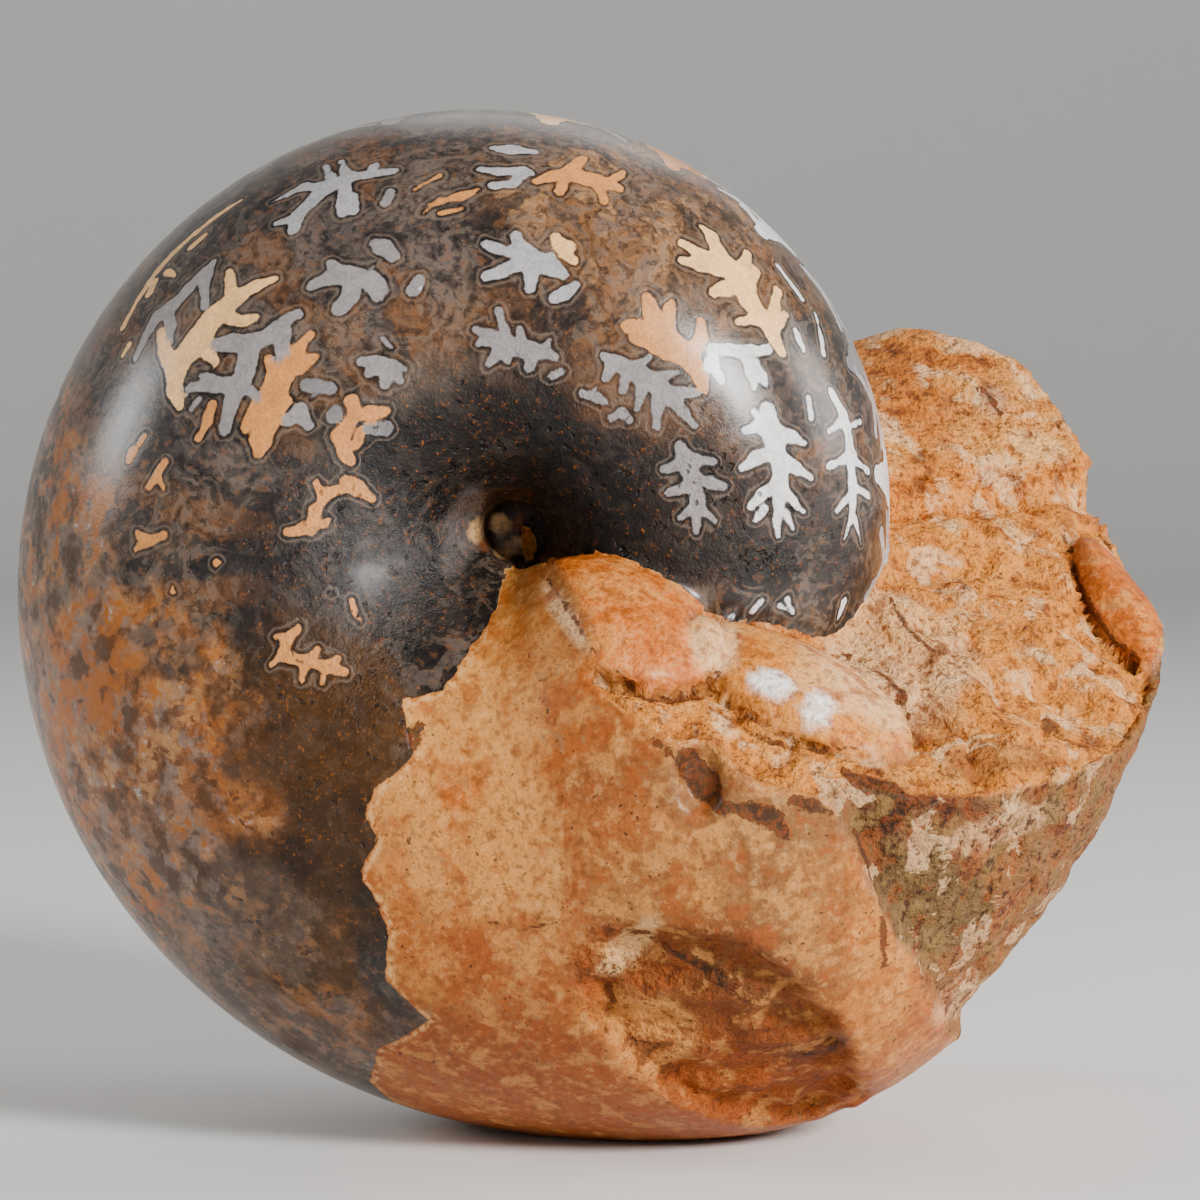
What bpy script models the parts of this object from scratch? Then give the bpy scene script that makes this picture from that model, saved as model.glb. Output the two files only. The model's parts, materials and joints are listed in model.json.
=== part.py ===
"""A polished fossil ammonite whose last whorl is filled with stone and broken off at the right.

It is one piece of stone. The coil is a solid swept about the Y axis: its outer edge follows a
logarithmic spiral, each whorl is an oval that narrows to its outer edge, and a funnel runs down to the
umbilicus, the small hole at the coil's middle, on both flanks. The inner coil is one full turn, and
the last whorl starts where that turn ends, at the bottom, and wraps it on the right. A tilted broken
face, with the shells set in it, ends the last whorl, and a small flat is ground where the stone rests.

Points are worked out in the coil's own frame, with the coil's axis at the origin, X to the viewer's
right, Y away from the viewer and Z up. The object then moves so that the flat's middle is the origin.
"""

import math

import bmesh
import bpy
import numpy as np
from mathutils import Matrix, Vector

MM = 0.001
DEGREE = math.pi / 180

# The coil
BOTTOM_RADIUS = 60.0 * MM  # from the coil's axis down to its outer edge
GROWTH = 0.099  # the outer edge's radius grows by this share for each radian of turn
BOTTOM_TURN = 1.5 * math.pi  # turn angle at the bottom, counted from the viewer's right over the top
HALF_THICKNESS = 0.56  # half the thickness of a whorl, as a share of its radius
THICKEST_AT = 0.45  # where the whorl is thickest, as a share of its radius
AXIS_HEIGHT = 0.20  # height of the funnel's foot, as a share of the radius
FUNNEL_CURVE = 2.6  # how steeply the flank falls into the funnel
SWELL = 3.3 * MM  # the last whorl bulges by this much at its lower right
SWELL_AT = 303 * DEGREE
SWELL_WIDTH = 14 * DEGREE

# The umbilicus, shared by both flanks
HOLE_RADIUS = 3.3 * MM
HOLE_FOOT_RADIUS = 2.6 * MM
HOLE_FLOOR = 9.0 * MM  # distance of its floor from the coil's middle plane
HOLE_SHIFT = (1.3 * MM, 1.9 * MM)  # the near hole lies this far right of and above the axis
HOLE_SHIFT_REACH = 8.0 * MM

# The sweep's fineness
INNER_COLUMNS = 72
LAST_COLUMNS = 60
FUNNEL_ROWS = 7
FLANK_ROWS = 11
LAST_START = 252 * DEGREE
LAST_END = 438 * DEGREE
TUCK_END = 271 * DEGREE  # up to here the last whorl starts just inside the inner coil
TUCK_LENGTH = 19 * DEGREE
TUCK_SHARE = 0.03
LAST_INNER_RADIUS = 3.6 * MM
LAST_INNER_HEIGHT = 6.0 * MM

# The broken face, a tilted plane with relief
BREAK_NORMAL = Vector((0.3439, -0.5210, 0.7812)).normalized()
BREAK_OFFSET = 13.0 * MM
BREAK_RIGHT = Vector((0.9154, 0.0, -0.4027)).normalized()
BREAK_BACK = BREAK_NORMAL.cross(BREAK_RIGHT)
BREAK_REACH_RIGHT = (-8.0 * MM, 78.0 * MM)
BREAK_REACH_BACK = (-50.0 * MM, 60.0 * MM)
BREAK_STEP = 2.35 * MM
CUTTER_DEPTH = 90.0 * MM

# Relief of the broken face, in millimetres along its plane and over it
LEDGE_FOOT = (31.75, 18.9)
LEDGE_SLOPE = 0.95
SHELLS = (  # middle, half sizes, turn in degrees, height and fullness of each rounded shell
    ((15.0, -22.5), (10.5, 9.0), -25, 3.0, 0.7),
    ((33.0, -20.8), (12.5, 7.2), -8, 2.4, 0.8),
    ((59.4, 17.8), (12.0, 5.0), -51, 3.6, 1.0),
)
DENTS = (  # depth, middle and spreads of each hollow
    (2.2, (36.0, -7.5), (7.0, 4.5)),
    (1.0, (46.2, -16.5), (2.5, 2.5)),
)
LOBE_RISE = (2.6, (39.0, 46.0), (11.0, 9.0))  # the back lobe's hump, in the same way

# Wear of the last whorl
EDGE_AT = (34.4 * MM, -24.4 * MM)  # a point of the crisp edge down the flank; beyond it the stone is weathered
EDGE_WAY = (0.925, 0.38)
WEATHERED_DEPTH = 2.0 * MM
SCAR_MIDDLE = (23.0 * MM, -46.0 * MM)
SCAR_SIZES = (15.0 * MM, 9.0 * MM)
SCAR_TURN = (0.80, 0.60)
SCAR_DEPTH = 1.8 * MM
CHIP_MIDDLE = (21.5 * MM, -20.5 * MM)
CHIP_SIZES = (2.4 * MM, 3.6 * MM)
CHIP_DEPTH = 1.6 * MM

# The cut that ends the far arm of the last whorl, behind the inner coil, and the one that blunts its rim
FAR_NORMAL = Vector((-0.55, 0.10, 0.80)).normalized()
FAR_OFFSET = 4.2 * MM
RIM_NORMAL = Vector((0.25, 0.80, 0.55)).normalized()
RIM_OFFSET = 51.2 * MM

# The cut that ends the near arm beside the umbilicus: a slope that turns up towards the middle plane
NEAR_SLOPE = 0.2
NEAR_DROP = 1.5 * MM
NEAR_TURNS_UP_AT = -11.0 * MM
NEAR_RISE = 1.6
NEAR_TOP = 45.0 * MM

# The ground flat that the stone rests on
REST_HEIGHT = -60.0 * MM
REST_MIDDLE = 11.5 * MM

STONE_BROWN = (0.30, 0.19, 0.11, 1.0)
POLISHED = 0.32


def smooth(low, high, value):
    share = np.clip((value - low) / (high - low), 0, 1)
    return share * share * (3 - 2 * share)


def outer_radius(turn):
    """Distance of the coil's outer edge from its axis at a turn angle."""
    spiral = BOTTOM_RADIUS * math.exp(GROWTH * (turn - BOTTOM_TURN))
    return spiral + SWELL * math.exp(-0.5 * ((turn - SWELL_AT) / SWELL_WIDTH) ** 2)


def funnel_height(radius, outer):
    """Height of the flank over the middle plane, from the axis to where the whorl is thickest."""
    share = min(radius / outer / THICKEST_AT, 1.0)
    rise = (HALF_THICKNESS - AXIS_HEIGHT) * (1 - (1 - share) ** FUNNEL_CURVE)
    return (AXIS_HEIGHT + rise) * outer


def half_outline(inner_radius, outer):
    """(radius, height) points of one flank, from the funnel to the outer edge, without that edge."""
    points = []
    thickest = THICKEST_AT * outer
    for row in range(FUNNEL_ROWS):
        radius = inner_radius + (thickest - inner_radius) * (row / FUNNEL_ROWS) ** 1.3
        points.append((radius, funnel_height(radius, outer)))
    for row in range(FLANK_ROWS):
        angle = math.pi / 2 * row / FLANK_ROWS
        points.append(
            (thickest + (outer - thickest) * math.sin(angle), HALF_THICKNESS * outer * math.cos(angle))
        )
    return points


def outline(start, inner_radius, outer):
    """The whole section: start points near the axis, near flank, outer edge, far flank, start points."""
    half = start + half_outline(inner_radius, outer)
    near = [(radius, -height) for radius, height in half]
    far = [(radius, height) for radius, height in reversed(half)]
    return near + [(outer, 0.0)] + far


def place(radius, height, angle):
    """A point of the coil, with the near hole's shift."""
    near = float(smooth(0.0, -5.0 * MM, height)) * math.exp(-((radius / HOLE_SHIFT_REACH) ** 2))
    return Vector(
        (
            radius * math.cos(angle) + HOLE_SHIFT[0] * near,
            height,
            radius * math.sin(angle) + HOLE_SHIFT[1] * near,
        )
    )


def worn_depth(x, y, z):
    """How far the last whorl's surface has sunk, by weathering and chips, at a point of its surface."""
    near = smooth(4.0 * MM, -6.0 * MM, y)
    edge = (x - EDGE_AT[0]) * EDGE_WAY[0] + (z - EDGE_AT[1]) * EDGE_WAY[1]
    weathered = WEATHERED_DEPTH * smooth(0.0, 1.5 * MM, edge)
    right, up = x - SCAR_MIDDLE[0], z - SCAR_MIDDLE[1]
    across = (right * SCAR_TURN[0] - up * SCAR_TURN[1]) / SCAR_SIZES[0]
    along = (right * SCAR_TURN[1] + up * SCAR_TURN[0]) / SCAR_SIZES[1]
    scar = SCAR_DEPTH * smooth(1.0, 0.8, math.hypot(across, along))
    out_of_chip = math.hypot((x - CHIP_MIDDLE[0]) / CHIP_SIZES[0], (z - CHIP_MIDDLE[1]) / CHIP_SIZES[1])
    chip = CHIP_DEPTH * smooth(1.2, 0.5, out_of_chip)
    return float(weathered + near * (scar + chip))


def sink(point, angle):
    """Moves a point of the last whorl inwards by the depth worn off there."""
    depth = worn_depth(point.x, point.y, point.z)
    inner = THICKEST_AT * BOTTOM_RADIUS
    inward = Vector((inner * math.cos(angle), 0.0, inner * math.sin(angle))) - point
    return point + inward.normalized() * depth


def hump(right, back, middle, half_sizes, turn, height, fullness):
    """Relief of a rounded shell that stands out of the broken face."""
    across = (right - middle[0]) * math.cos(turn) + (back - middle[1]) * math.sin(turn)
    along = -(right - middle[0]) * math.sin(turn) + (back - middle[1]) * math.cos(turn)
    inside = 1 - (across / half_sizes[0]) ** 2 - (along / half_sizes[1]) ** 2
    return height * np.clip(inside, 0, None) ** fullness


def dent(right, back, middle, spreads):
    return np.exp(-(((right - middle[0]) / spreads[0]) ** 2) - ((back - middle[1]) / spreads[1]) ** 2)


def break_relief(right, back):
    """Height of the broken face over its plane, at a place measured in millimetres along the plane."""
    ledge_back = LEDGE_FOOT[1] + LEDGE_SLOPE * (right - LEDGE_FOOT[0])
    ledge = (back - ledge_back) / math.hypot(1, LEDGE_SLOPE)
    lobe = smooth(-0.5, 0.8, ledge)
    rise, *rise_place = LOBE_RISE
    height = lobe * (0.5 + rise * dent(right, back, *rise_place) - 3.0 * smooth(29, 20, right))
    height -= 1.2 * (1 - lobe) * smooth(-14, -4, back)
    height -= 2.6 * (1 - lobe) * smooth(47, 60, right) * smooth(4, 14, back)
    height -= 1.3 * smooth(28, 33, right) * np.exp(-(((ledge + 2.0) / 1.8) ** 2))
    for middle, half_sizes, turn, tall, fullness in SHELLS:
        height += hump(right, back, middle, half_sizes, turn * DEGREE, tall, fullness)
    for depth, middle, spreads in DENTS:
        height -= depth * dent(right, back, middle, spreads)
    return height


def new_object(name, bm):
    """A mesh object with outward normals."""
    bmesh.ops.recalc_face_normals(bm, faces=bm.faces)
    mesh = bpy.data.meshes.new(name)
    bm.to_mesh(mesh)
    bm.free()
    obj = bpy.data.objects.new(name, mesh)
    bpy.context.scene.collection.objects.link(obj)
    return obj


def helper(name, bm):
    """A shape that only cuts or joins, and isn't part of the model."""
    obj = new_object(name, bm)
    obj.hide_render = True
    obj.display_type = "WIRE"
    return obj


def join_rings(bm, rings, wraps):
    """Faces between neighbouring rings of points; shared points close to triangles."""
    pairs = list(zip(rings, rings[1:]))
    if wraps:
        pairs.append((rings[-1], rings[0]))
    for first, second in pairs:
        for a, b, c, d in zip(first, first[1:], second[1:], second):
            corners = list(dict.fromkeys((a, b, c, d)))
            if len(corners) > 2:
                bm.faces.new(corners)


def inner_coil():
    """One full turn of the coil; its last ring meets its first in a flat step at the bottom."""
    bm = bmesh.new()
    near_foot, far_foot = (bm.verts.new((0, side * HOLE_FLOOR, 0)) for side in (-1, 1))
    near_foot.co.x, near_foot.co.z = HOLE_SHIFT
    rings = []
    for column in range(INNER_COLUMNS + 1):
        turn = BOTTOM_TURN - 2 * math.pi * (1 - column / INNER_COLUMNS)
        points = outline([(HOLE_FOOT_RADIUS, HOLE_FLOOR)], HOLE_RADIUS, outer_radius(turn))
        if column == INNER_COLUMNS:
            # The foot of the hole is the same ring of points at both ends of the turn.
            ring = [rings[0][1]] + [bm.verts.new(place(*p, turn)) for p in points[1:-1]] + [rings[0][-2]]
        else:
            ring = [bm.verts.new(place(*p, turn)) for p in points]
        rings.append([near_foot] + ring + [far_foot])
    join_rings(bm, rings, wraps=True)
    return new_object("ammonite", bm)


def last_whorl():
    """The last part turn, from the bottom round the right, before it is broken off."""
    bm = bmesh.new()
    rings = []
    for column in range(LAST_COLUMNS + 1):
        turn = LAST_START + (LAST_END - LAST_START) * column / LAST_COLUMNS
        tuck = 1 - TUCK_SHARE * float(smooth(0.0, 1.0, (TUCK_END - turn) / TUCK_LENGTH))
        outer = outer_radius(turn) * tuck
        points = outline([(LAST_INNER_RADIUS, LAST_INNER_HEIGHT)], LAST_INNER_RADIUS, outer)
        rings.append([bm.verts.new(sink(place(*p, turn), turn)) for p in points])
    join_rings(bm, [ring + ring[:1] for ring in rings], wraps=False)
    bm.faces.new(rings[0])
    bm.faces.new(rings[-1])
    return helper("last_whorl", bm)


def break_cutter():
    """Everything above the broken face: a block whose underside carries the face's relief."""
    bm = bmesh.new()
    rights = np.arange(*BREAK_REACH_RIGHT, BREAK_STEP)
    backs = np.arange(*BREAK_REACH_BACK, BREAK_STEP)
    face, lid = [], []
    for right in rights:
        heights = BREAK_OFFSET + break_relief(right / MM, backs / MM) * MM
        foot = [BREAK_RIGHT * right + BREAK_BACK * back for back in backs]
        face.append([bm.verts.new(p + BREAK_NORMAL * h) for p, h in zip(foot, heights)])
        lid.append([bm.verts.new(p + BREAK_NORMAL * CUTTER_DEPTH) for p in foot])
    join_rings(bm, face, wraps=False)
    join_rings(bm, lid, wraps=False)
    for low, high in ((face[0], lid[0]), (face[-1], lid[-1])):
        join_rings(bm, [low, high], wraps=False)
    for end in (0, -1):
        join_rings(bm, [[column[end] for column in face], [column[end] for column in lid]], wraps=False)
    return helper("break_cutter", bm)


def plane_cutter(name, normal, offset):
    """A block above a plane."""
    bm = bmesh.new()
    turn = normal.to_track_quat("Z", "Y").to_matrix().to_4x4()
    middle = Matrix.Translation(normal * (offset + CUTTER_DEPTH))
    bmesh.ops.create_cube(bm, size=2 * CUTTER_DEPTH, matrix=middle @ turn)
    return helper(name, bm)


def near_cutter():
    """A wedge that ends the near arm beside the umbilicus and leaves the far side alone."""
    bm = bmesh.new()
    top = NEAR_TOP
    profile = (
        (-CUTTER_DEPTH, 0.0),
        (NEAR_TURNS_UP_AT, 0.0),
        (NEAR_TURNS_UP_AT + top / NEAR_RISE, top),
        (-CUTTER_DEPTH, top),
    )
    ends = [
        [bm.verts.new((x, y, NEAR_SLOPE * x - NEAR_DROP + rise)) for y, rise in profile]
        for x in (-CUTTER_DEPTH, CUTTER_DEPTH)
    ]
    join_rings(bm, [end + end[:1] for end in ends], wraps=False)
    for end in ends:
        bm.faces.new(end)
    return helper("near_cutter", bm)


def boolean(obj, operation, other):
    modifier = obj.modifiers.new(other.name, "BOOLEAN")
    modifier.operation = operation
    modifier.solver = "EXACT"
    modifier.object = other


def stone():
    material = bpy.data.materials.new("polished stone")
    material.use_nodes = True
    shader = material.node_tree.nodes["Principled BSDF"]
    shader.inputs["Base Color"].default_value = STONE_BROWN
    shader.inputs["Roughness"].default_value = POLISHED
    shader.inputs["Metallic"].default_value = 0.0
    return material


def main():
    for obj in list(bpy.data.objects):
        bpy.data.objects.remove(obj, do_unlink=True)
    whorl = last_whorl()
    far = plane_cutter("far_cutter", FAR_NORMAL, FAR_OFFSET)
    rim = plane_cutter("rim_cutter", RIM_NORMAL, RIM_OFFSET)
    for cutter in (break_cutter(), far, rim, near_cutter()):
        boolean(whorl, "DIFFERENCE", cutter)
    ammonite = inner_coil()
    boolean(ammonite, "UNION", whorl)
    boolean(ammonite, "DIFFERENCE", plane_cutter("rest_cutter", Vector((0.0, 0.0, -1.0)), -REST_HEIGHT))
    ammonite.data.materials.append(stone())
    ammonite.data.shade_smooth()
    ammonite.data.set_sharp_from_angle(angle=30 * DEGREE)
    for obj in bpy.data.objects:
        obj.location = (-REST_MIDDLE, 0.0, -REST_HEIGHT)


main()
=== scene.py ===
"""Looks of a polished fossil ammonite: its shell markings, its stone fill and its broken end.

The coil's surface is one rule, coil_parts, written once for numbers and for nodes. A Geometry Nodes
tree fills a grid with it and takes the surface out, and the script then makes the mesh finer where the
stone is rough or marked, adds the grain, and stores the markings in attributes that the material reads.
The rule works in millimetres in the coil's own frame: its axis at the origin, X to the viewer's right,
Y away from the viewer and Z up.
"""

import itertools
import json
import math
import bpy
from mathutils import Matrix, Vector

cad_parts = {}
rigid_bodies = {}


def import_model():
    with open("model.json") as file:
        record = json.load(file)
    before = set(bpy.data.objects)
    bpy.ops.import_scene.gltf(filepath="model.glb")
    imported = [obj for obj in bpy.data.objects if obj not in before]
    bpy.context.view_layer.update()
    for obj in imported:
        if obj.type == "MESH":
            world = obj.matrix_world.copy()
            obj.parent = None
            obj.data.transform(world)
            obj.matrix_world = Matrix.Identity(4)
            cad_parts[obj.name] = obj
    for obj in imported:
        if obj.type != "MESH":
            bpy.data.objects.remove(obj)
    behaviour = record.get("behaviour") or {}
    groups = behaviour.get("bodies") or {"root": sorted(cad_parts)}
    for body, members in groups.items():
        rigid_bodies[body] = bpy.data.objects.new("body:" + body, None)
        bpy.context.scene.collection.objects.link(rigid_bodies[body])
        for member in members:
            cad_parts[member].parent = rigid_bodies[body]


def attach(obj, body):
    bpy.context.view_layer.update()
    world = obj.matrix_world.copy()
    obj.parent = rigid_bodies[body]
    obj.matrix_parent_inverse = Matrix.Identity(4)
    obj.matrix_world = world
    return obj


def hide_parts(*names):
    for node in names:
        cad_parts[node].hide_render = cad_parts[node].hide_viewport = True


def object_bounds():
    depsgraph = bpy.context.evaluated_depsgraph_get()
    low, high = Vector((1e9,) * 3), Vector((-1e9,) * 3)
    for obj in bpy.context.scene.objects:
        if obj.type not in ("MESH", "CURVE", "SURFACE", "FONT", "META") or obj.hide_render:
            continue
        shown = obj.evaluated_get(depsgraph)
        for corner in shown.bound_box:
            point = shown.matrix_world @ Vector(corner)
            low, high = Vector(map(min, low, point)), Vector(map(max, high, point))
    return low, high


bl_info = {
    "name": "Fossil ammonite",
    "version": (1, 0, 0),
    "blender": (4, 5, 0),
    "location": "View3D > Sidebar > Fossil",
    "description": "Builds a polished fossil ammonite and the stage it stands on",
    "category": "Add Mesh",
}

from types import SimpleNamespace

import bmesh
import bpy
import numpy as np
from mathutils import Vector

for leftover in list(bpy.data.objects):
    bpy.data.objects.remove(leftover, do_unlink=True)
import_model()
CAD_BOX = [list(corner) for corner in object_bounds()]

MM = 0.001
DEGREE = math.pi / 180
PIECE = "ammonite_stone"

# The coil's frame in the object's: the object's origin is the middle of the ground flat
COIL_ORIGIN = Vector((-11.5, 0.0, 60.0))

# The coil, in millimetres
BOTTOM_TURN = 1.5 * math.pi
SWELL_AT = 303 * DEGREE
SWELL_WIDTH = 14 * DEGREE
THICKEST_AT = 0.45
AXIS_HEIGHT = 0.20
FUNNEL_CURVE = 2.6
HOLE_FLOOR = 9.0
HOLE_SHIFT = (1.3, 1.9)
HOLE_SHIFT_REACH = 8.0
HOLE_SHIFT_DEPTHS = (0.0, -5.0)  # the shift grows from the first to the second
REST_HEIGHT = -60.0
NO_WHORL = 9.0  # stands for the distance of a whorl that isn't there

# The cuts that end the last whorl
BREAK_NORMAL = Vector((0.3439, -0.5210, 0.7812)).normalized()
BREAK_RIGHT = Vector((0.9154, 0.0, -0.4027)).normalized()
BREAK_BACK = BREAK_NORMAL.cross(BREAK_RIGHT)
FAR_NORMAL = Vector((-0.55, 0.10, 0.80)).normalized()
FAR_OFFSET = 4.2
RIM_NORMAL = Vector((0.25, 0.80, 0.55)).normalized()
RIM_OFFSET = 51.4
NEAR_SLOPE = 0.2
NEAR_DROP = 1.5
NEAR_TURNS_UP_AT = -11.0
NEAR_RISE = 1.6
NEAR_STEEPNESS = 1.9
BREAK_STEEPNESS = 0.85
ARM_ENDS_AT = 0.5 * math.pi + 0.2

# How far two surfaces are rounded where they meet
BREAK_BLEND = 0.5
RIM_BLEND = 4.0
FAR_BLEND = 5.0
NEAR_BLEND = 0.8
WHORL_BLEND = 0.3
HOLE_BLEND = 0.8

# The broken face's relief, at places right and back on it: heights and depths, then where they are
LEDGE_FOOT = (31.75, 18.9)
LEDGE_SLOPE = 0.95
LEDGE_STEP = (-0.5, 0.8)
LOBE_RISE = 0.5
LOBE_CROWN = (2.6, (39.0, 46.0), (11.0, 9.0))
LOBE_DROP = (3.0, (29.0, 20.0))
FRONT_DROP = (1.2, (-14.0, -4.0))
CORNER_DROP = (2.6, (47.0, 60.0), (4.0, 14.0))
FOOT_GROOVE = (1.3, (28.0, 33.0), 2.0, 1.8)
DENTS = ((2.2, (36.0, -7.5), (7.0, 4.5)), (1.0, (46.2, -16.5), (2.5, 2.5)))

# The wear of the last whorl's flank, at places (x, z): its crisp edge, the scar and the chip
NEAR_SIDE = (4.0, -6.0)  # the scar and the chip grow from the first y to the second
WEATHERED_DEPTH = 2.0
WEATHERED_STEP = (0.0, 1.5)
EDGE_AT = (34.4, -24.4)
EDGE_WAY = (0.925, 0.38)
SCAR_DEPTH = 1.8
SCAR_STEP = (1.0, 0.8)
SCAR_MIDDLE = (23.0, -46.0)
SCAR_WAY = (0.80, 0.60)
SCAR_HALF_SIZES = (15.0, 9.0)
CHIP_DEPTH = 1.6
CHIP_STEP = (1.2, 0.5)
CHIP_MIDDLE = (21.5, -20.5)
CHIP_HALF_SIZES = (2.4, 3.6)

# Rounded shells that stand out of the broken face: middle, half sizes, turn, height and fullness
SHELLS = (
    ((15.0, -22.5), (10.5, 9.0), -25.0, 3.0, 0.7),
    ((33.0, -20.8), (12.5, 7.2), -8.0, 2.4, 0.8),
    ((59.4, 17.8), (11.5, 4.2), -51.0, 3.6, 0.6),
)
SHELL_TONES = ("shell", "peach", "shell")

# The view of the photograph: a camera on the level of the coil, turned a little to its right
PHOTO_SIZE = 1200.0
COIL_PIXEL = (519.8, 543.0)  # where the coil's origin shows
PIXELS_PER_MM = 585.5 / 60.0  # at the origin's distance
VIEW_DISTANCE = 420.0
VIEW_AZIMUTH = 7.0 * DEGREE
VIEW_ELEVATION = 2.0 * DEGREE
SENSOR = 36.0

# Following a ray from the camera to the stone, in millimetres
RAY_START = 70.0  # before the coil's middle
RAY_STEPS = 90
RAY_STRIDE = 0.7
RAY_LONGEST_STEP = 6.0
RAY_TOUCH = 0.03

# The stage, in metres; each light has a name, a place, a size and a share of the power
FLOOR_SIDES = 96
FILLET = 0.5
FILLET_STEPS = 12
WALL_HEIGHT = 1.2
FLOOR_ROUGHNESS = 0.6
ROOM_TINT = (0.93, 0.95, 1.0, 1.0)
LIGHT_TARGET = (0.0, 0.0, 0.06)
LIGHTS = (
    ("Main light", (0.57, -0.46, 0.35), 0.18, 1.05),
    ("Left light", (-0.70, -0.10, 0.35), 0.22, 0.22),
    ("Right light", (0.70, 0.15, 0.30), 0.30, 0.3),
    ("Back light", (0.0, 0.60, 0.60), 0.40, 0.06),
)

# The mesh, in millimetres: its grid, and how near to an outline it is cut finer, once and twice
COARSE_STEP = 1.08
LEAF_BAND = 0.9
FINE_LEAF_BAND = 0.38
FINE_UP_TO = 12.0  # behind the middle plane, where the finer mesh ends
GRID_MARGIN = 3.0
SLOPE_STEP = 0.05
LEAST_SLOPE = 0.3  # of the gradient's squared length
LONGEST_MOVE = 0.6
SETTLE_ROUNDS = 2
GRAIN_CELLS = 61
GRAIN_SHIFT = 31.7
GRAIN_GAIN = 1.6

# The leaves, in millimetres, shares of the flank and degrees
LEAF_BLEND = 0.12
LEAF_FULLNESS = 0.94
LEAF_REACH = 5.0
FLANK_SHARE = 0.45
FLANK_START = -8
FLANK_TURN = 250

# Leaves grown by rule: a seed, tones, rows as (side, share of the flank), and the degrees between leaves.
# The hidden ones are where the photograph doesn't look, and the dim ones lie between the others
HIDDEN_LEAVES = (
    7,
    ("pale", "pale", "grey", "cream", "tan", "white", "slate"),
    ((1, 0.42), (1, 0.60), (1, 0.76), (1, 0.90), (-1, 0.90)),
    19,
)
DIM_LEAVES = (
    12,
    ("bark", "ash", "charcoal", "bark", "top"),
    ((-1, 0.40), (-1, 0.55), (-1, 0.70), (-1, 0.84), (1, 0.35), (1, 0.60), (1, 0.80)),
    13,
)

# Colours as a screen shows them, 0 to 255, and the power that deepens them all
RICHNESS = 1.25
PALETTE = {
    "pale": (178, 174, 174),
    "grey": (158, 152, 150),
    "slate": (138, 134, 134),
    "white": (222, 220, 218),
    "chalk": (255, 250, 244),
    "cream": (240, 196, 140),
    "tan": (214, 154, 94),
    "blush": (196, 150, 104),
    "orange": (196, 112, 34),
    "rust": (180, 110, 4),
    "umber": (82, 69, 58),
    "top": (108, 86, 66),
    "ash": (108, 98, 94),
    "fawn": (196, 150, 106),
    "dusk": (138, 122, 108),
    "ochre": (158, 82, 12),
    "bark": (140, 98, 60),
    "soot": (26, 20, 19),
    "charcoal": (60, 54, 53),
    "bronze": (88, 56, 6),
    "crystal": (150, 92, 36),
    "pearl": (150, 136, 126),
    "sand": (194, 128, 54),
    "wheat": (224, 166, 96),
    "peach": (218, 146, 62),
    "amber": (178, 96, 18),
    "shell": (202, 114, 36),
    "bloom": (240, 200, 154),
    "clay": (136, 76, 26),
    "weathered": (146, 106, 64),
    "moss": (104, 92, 58),
    "plum": (92, 58, 44),
    "red": (140, 46, 20),
    "hollow": (52, 30, 16),
}

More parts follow.
